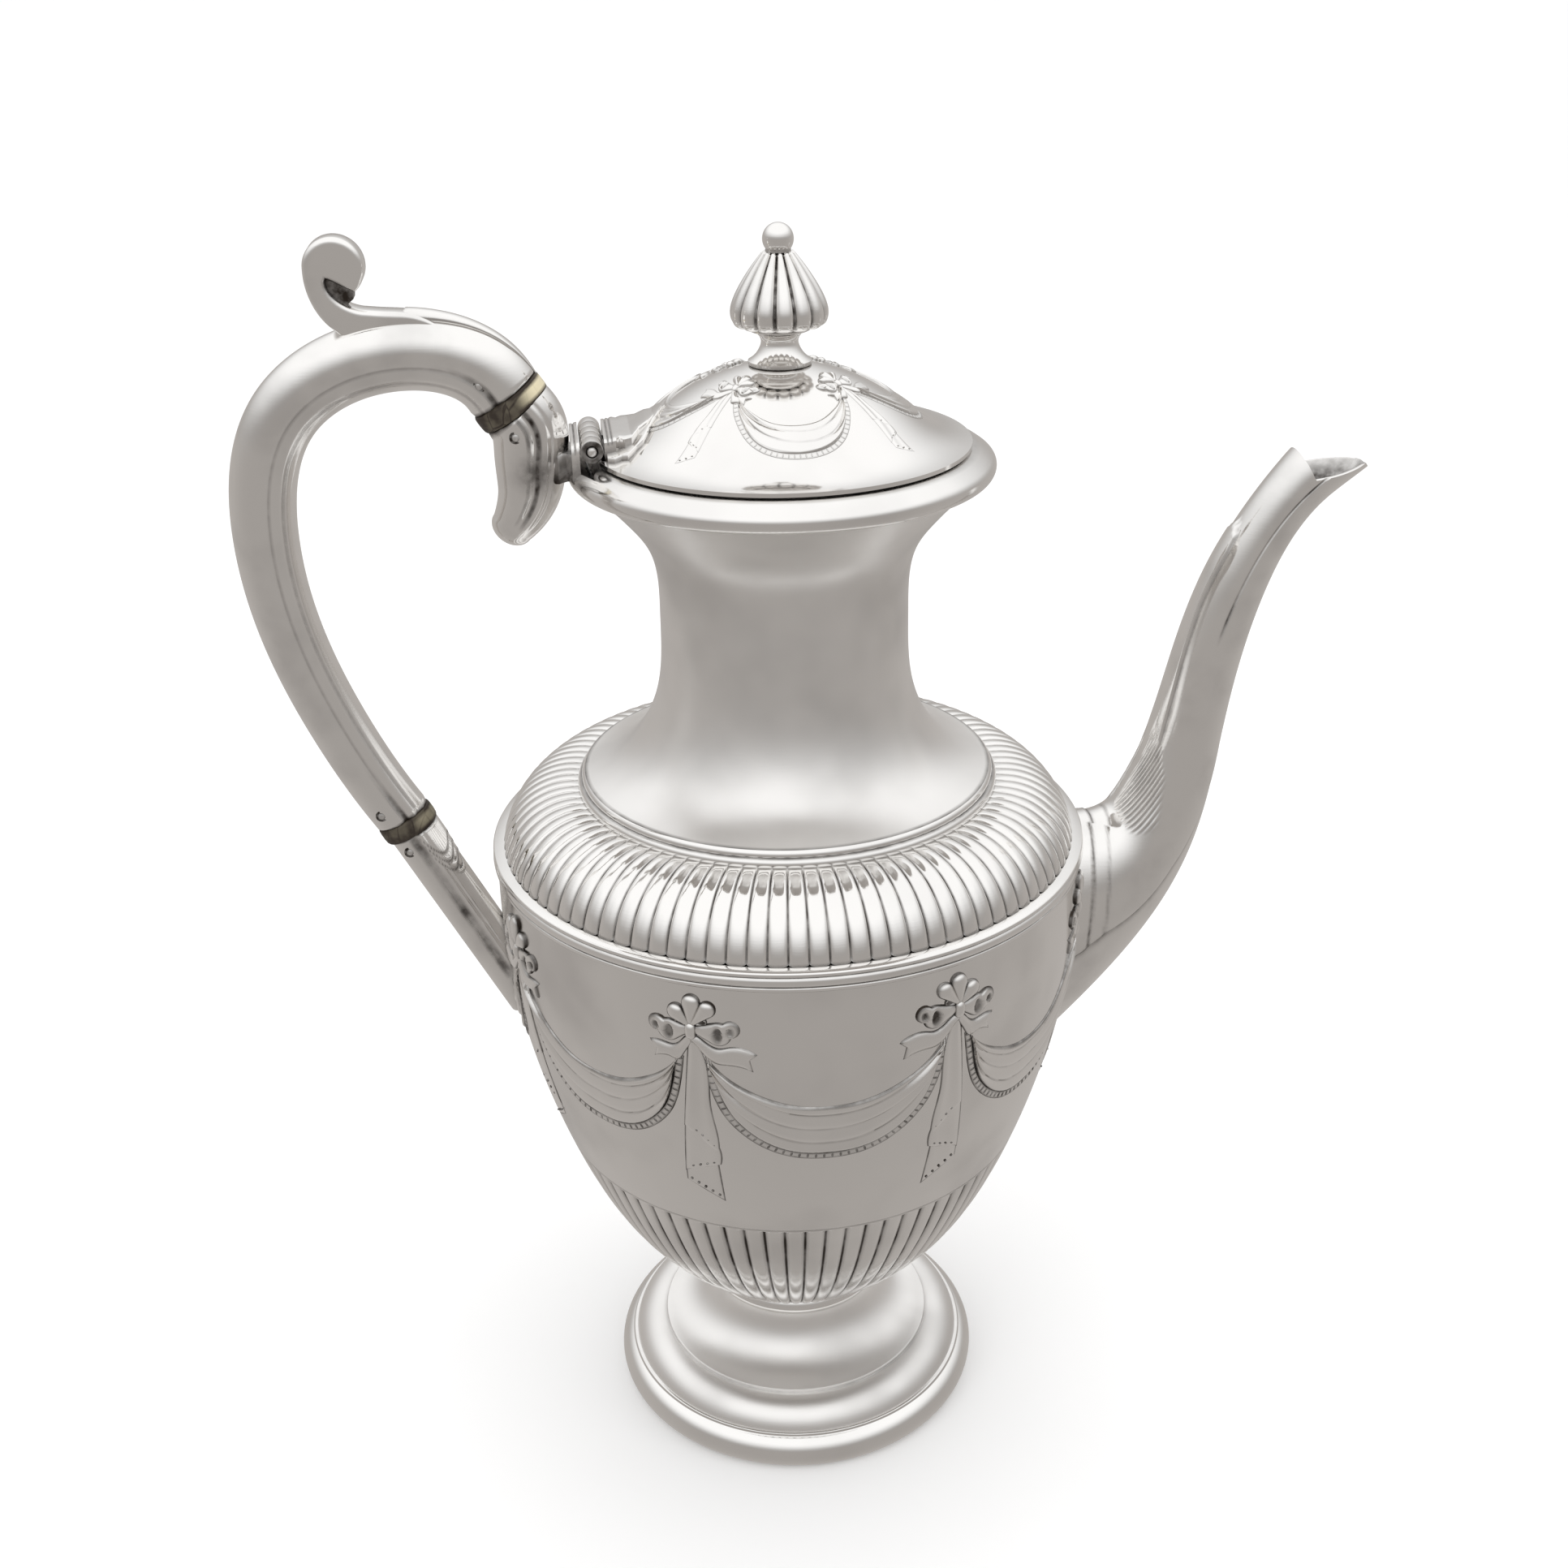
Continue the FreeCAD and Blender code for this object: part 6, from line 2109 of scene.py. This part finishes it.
@dataclass
class Hinge:
    """The lid's hinge: a barrel of knuckles on one pin, with a leaf on the lid and one on the rim."""

    axis_x: float = -35.6
    axis_z: float = 220.1
    barrel: float = 2.1
    bore: float = 1.06
    pin_radius: float = 0.95
    length: float = 18.5
    knuckles: int = 5
    gap: float = 0.18
    upper: Plate = Plate(
        "hinge_lid_leaf_upper",
        (
            *((-33.3, 8.7), (-31.2, 8.7), (-30.5, 7.7), (-29.5, 8.7), (-28.3, 8.3)),
            *((-26.9, 5.6), (-25.2, 4.8), (-23.5, 2.2), (-21.6, 0.5)),
        ),
        along_middle((-33.3, 221.9), (-31.4, 222.2), (-28.4, 222.5), (-25.5, 224.1), (-21.6, 226.0)),
        over_lid(-0.35),
        (-32.6, -31.9),
    )
    lower: Plate = Plate(
        "hinge_lid_leaf_lower",
        (
            *((-32.9, 11.0), (-31.7, 11.9), (-30.4, 11.2), (-29.3, 11.9)),
            *((-27.6, 9.6), (-26.2, 8.7), (-24.4, 5.0), (-22.2, 1.4)),
        ),
        over_lid(1.05),
        over_lid(-0.35),
    )
    rim_leaf: Plate = Plate(
        "hinge_rim_leaf",
        ((-39.3, 8.9), (-37.85, 8.9)),
        along_middle((-39.3, 221.3), (-37.85, 221.6)),
        along_middle((-39.4, 214.0), (-36.9, 216.2)),
        (-38.6,),
    )
    arm: Plate = Plate(
        "hinge_arm",
        ((-46.2, 2.2), (-45.0, 3.6), (-43.4, 3.3), (-41.8, 4.9), (-40.2, 4.4), (-38.7, 5.8)),
        along_middle((-46.2, 217.2), (-44.8, 218.6), (-43.0, 217.9), (-41.0, 219.0), (-38.7, 218.6)),
        along_middle((-46.2, 213.6), (-43.4, 213.0), (-41.0, 213.5), (-38.7, 213.8)),
        stain=0.62,
    )

    def on_axis(self, name: str, shape: Piece, middles: Sequence[float], finish: Finish) -> Piece:
        """Sets an upright shape along the hinge's axis."""
        spots = [(self.axis_x, middle, self.axis_z) for middle in middles]
        return set_in_places(name, shape, spots, (0.0, 1.0, 0.0), (1.0, 0.0, 0.0), finish)

    def barrel_piece(self, name: str, first: int) -> Piece:
        """Turns every second knuckle of the barrel.

        Args:
            name: The piece's name.
            first: Number of the first knuckle.

        Returns:
            The piece.
        """
        pitch = self.length / self.knuckles
        half = (pitch - self.gap) / 2
        bore, barrel = self.bore, self.barrel
        loop = eased(((bore, -half), (barrel, -half), (barrel, half), (bore, half)), 0.28)
        marks = step_up(np.abs(loop[:, 1]), half - 0.3, half) * 0.9
        shape = turned(loop, 48, marks).make("knuckle", 60)
        middles = [(index + 0.5) * pitch - self.length / 2 for index in range(first, self.knuckles, 2)]
        return self.on_axis(name, shape, middles, CAST)

    def pin(self) -> None:
        """Turns the pin with its peened ends."""
        half = self.length / 2
        upper = ((self.pin_radius, half - 0.05), (0.6, half + 0.24), (0, half + 0.3))
        lower = [(radius, -height) for radius, height in upper[::-1]]
        shape = turned(joined(lower, upper), 32, np.array([0.0, 0.0, 1.0, 1.0, 0.0, 0.0])).make("pin", 60)
        place(self.on_axis("hinge_pin_peened", shape, [0.0], PINS), Body.POT, PINS, "hinge_pin")

    def build(self) -> None:
        """Builds and dresses the hinge."""
        place(self.upper.make(), Body.LID, CAST, "hinge_lid_leaf")
        place(self.lower.make(), Body.LID, CAST, "hinge_lid_leaf")
        place(self.barrel_piece("hinge_lid_knuckles", 1), Body.LID, CAST, "hinge_lid_leaf")
        place(self.barrel_piece("hinge_rim_knuckles", 0), Body.POT, CAST, "hinge_body_leaf")
        place(self.rim_leaf.make(), Body.POT, CAST, "hinge_body_leaf")
        place(self.arm.make(), Body.POT, CAST, "hinge_body_leaf")
        self.pin()


# The studio


def aimed(at: Point, way: Vector) -> Matrix:
    """The place and turn of a lamp or camera that looks one way."""
    return Matrix.Translation(at) @ way.to_track_quat("-Z", "Y").to_matrix().to_4x4()


@dataclass
class Studio:
    """A plain pale floor, soft studio light and the camera."""

    lens: float = 42.205
    sensor: float = 36.0
    camera_at: tuple = (-0.0425, -0.3361, 0.3081)
    heading: float = 7.1
    pitch: float = 25.46
    roll: float = -1.01
    front_tone: float = 0.39
    back_tone: float = 0.47
    top_tone: float = 1.1
    floor_tone: float = 1.1
    floor_size: float = 40.0
    floor_rough: float = 0.9
    floor_colour: tuple = (0.93, 0.93, 0.93, 1.0)
    warm: tuple = (1.0, 0.945, 0.9)
    white: tuple = (1.0, 1.0, 1.0)
    lamp_target: tuple = (0, 0, 0.13)
    lamps: tuple = (
        ("lamp_left", (-0.95, -0.75, 0.85), (0.7, 0.7), 2.5),
        ("lamp_right", (1.1, -0.5, 0.7), (0.5, 0.8), 1.5),
        ("lamp_over", (0.1, 0.2, 1.3), (0.9, 0.7), 2.0),
    )

    def floor(self) -> None:
        """Lays the pale floor."""
        size = self.floor_size
        mesh = bpy.data.meshes.new("studio_floor")
        corners = [(-size, -size, 0), (size, -size, 0), (size, size, 0), (-size, size, 0)]
        mesh.from_pydata(corners, [], [(0, 1, 2, 3)])
        floor = linked("studio_floor", mesh)
        material = bpy.data.materials.new("pale_floor")
        material.use_nodes = True
        shader = material.node_tree.nodes["Principled BSDF"]
        shader.inputs["Base Color"].default_value = self.floor_colour
        shader.inputs["Roughness"].default_value = self.floor_rough
        mesh.materials.append(material)
        floor.visible_glossy = False

    def sky(self) -> None:
        """Sets a soft light all round, brighter from above, and an even one for the floor."""
        world = bpy.data.worlds.new("studio")
        bpy.context.scene.world = world
        world.use_nodes = True
        world.node_tree.nodes.clear()
        write = TreeWriter(world.node_tree)
        way = write.node("ShaderNodeTexCoord").outputs["Generated"]
        _, depth, height = write.node("ShaderNodeSeparateXYZ", {0: way}).outputs
        sides = write.ramp(depth, -0.85, 0.75, self.front_tone, self.back_tone)
        shone = write.ramp(height, 0.05, 0.75, sides, self.top_tone)
        mirrored = write.node("ShaderNodeLightPath").outputs["Is Glossy Ray"]
        feeds = {
            "Color": write.blend(write.ramp(height, -0.1, 0.5), self.warm, self.white),
            "Strength": write.ramp(mirrored, 0.0, 1.0, self.floor_tone, shone),
        }
        light = write.node("ShaderNodeBackground", feeds)
        write.node("ShaderNodeOutputWorld", {0: light.outputs[0]})

    def light(self) -> None:
        """Hangs two large soft lamps and one overhead."""
        for name, at, size, power in self.lamps:
            data = bpy.data.lights.new(name, "AREA")
            data.shape = "RECTANGLE"
            data.size, data.size_y = size
            data.energy = power
            lamp = linked(name, data)
            lamp.matrix_world = aimed(at, Vector(self.lamp_target) - Vector(at))
            lamp.visible_glossy = False

    def camera(self) -> None:
        """Sets the camera where the photograph was taken from."""
        data = bpy.data.cameras.new("camera")
        data.lens = self.lens
        data.sensor_width = self.sensor
        data.clip_start = 0.01
        camera = linked("camera", data)
        turn, dip = math.radians(self.heading), math.radians(self.pitch)
        look = Vector((math.sin(turn) * math.cos(dip), math.cos(turn) * math.cos(dip), -math.sin(dip)))
        camera.matrix_world = aimed(self.camera_at, look) @ Matrix.Rotation(math.radians(self.roll), 4, "Z")
        bpy.context.scene.camera = camera
        bpy.context.scene.view_settings.view_transform = "Standard"

    def build(self) -> None:
        """Sets up the studio."""
        self.floor()
        self.sky()
        self.light()
        self.camera()


def main() -> None:
    """Builds the coffee pot piece by piece."""
    logging.basicConfig(level=logging.INFO, format="%(name)s %(message)s")
    Studio().build()
    for part in (Foot(), Bowl(), Neck(), Lid(), Finial(), Spout(), Handle(), Hinge()):
        part.build()
    bowl_garland().build()
    lid_garland().build()


if __name__ == "__main__":
    main()
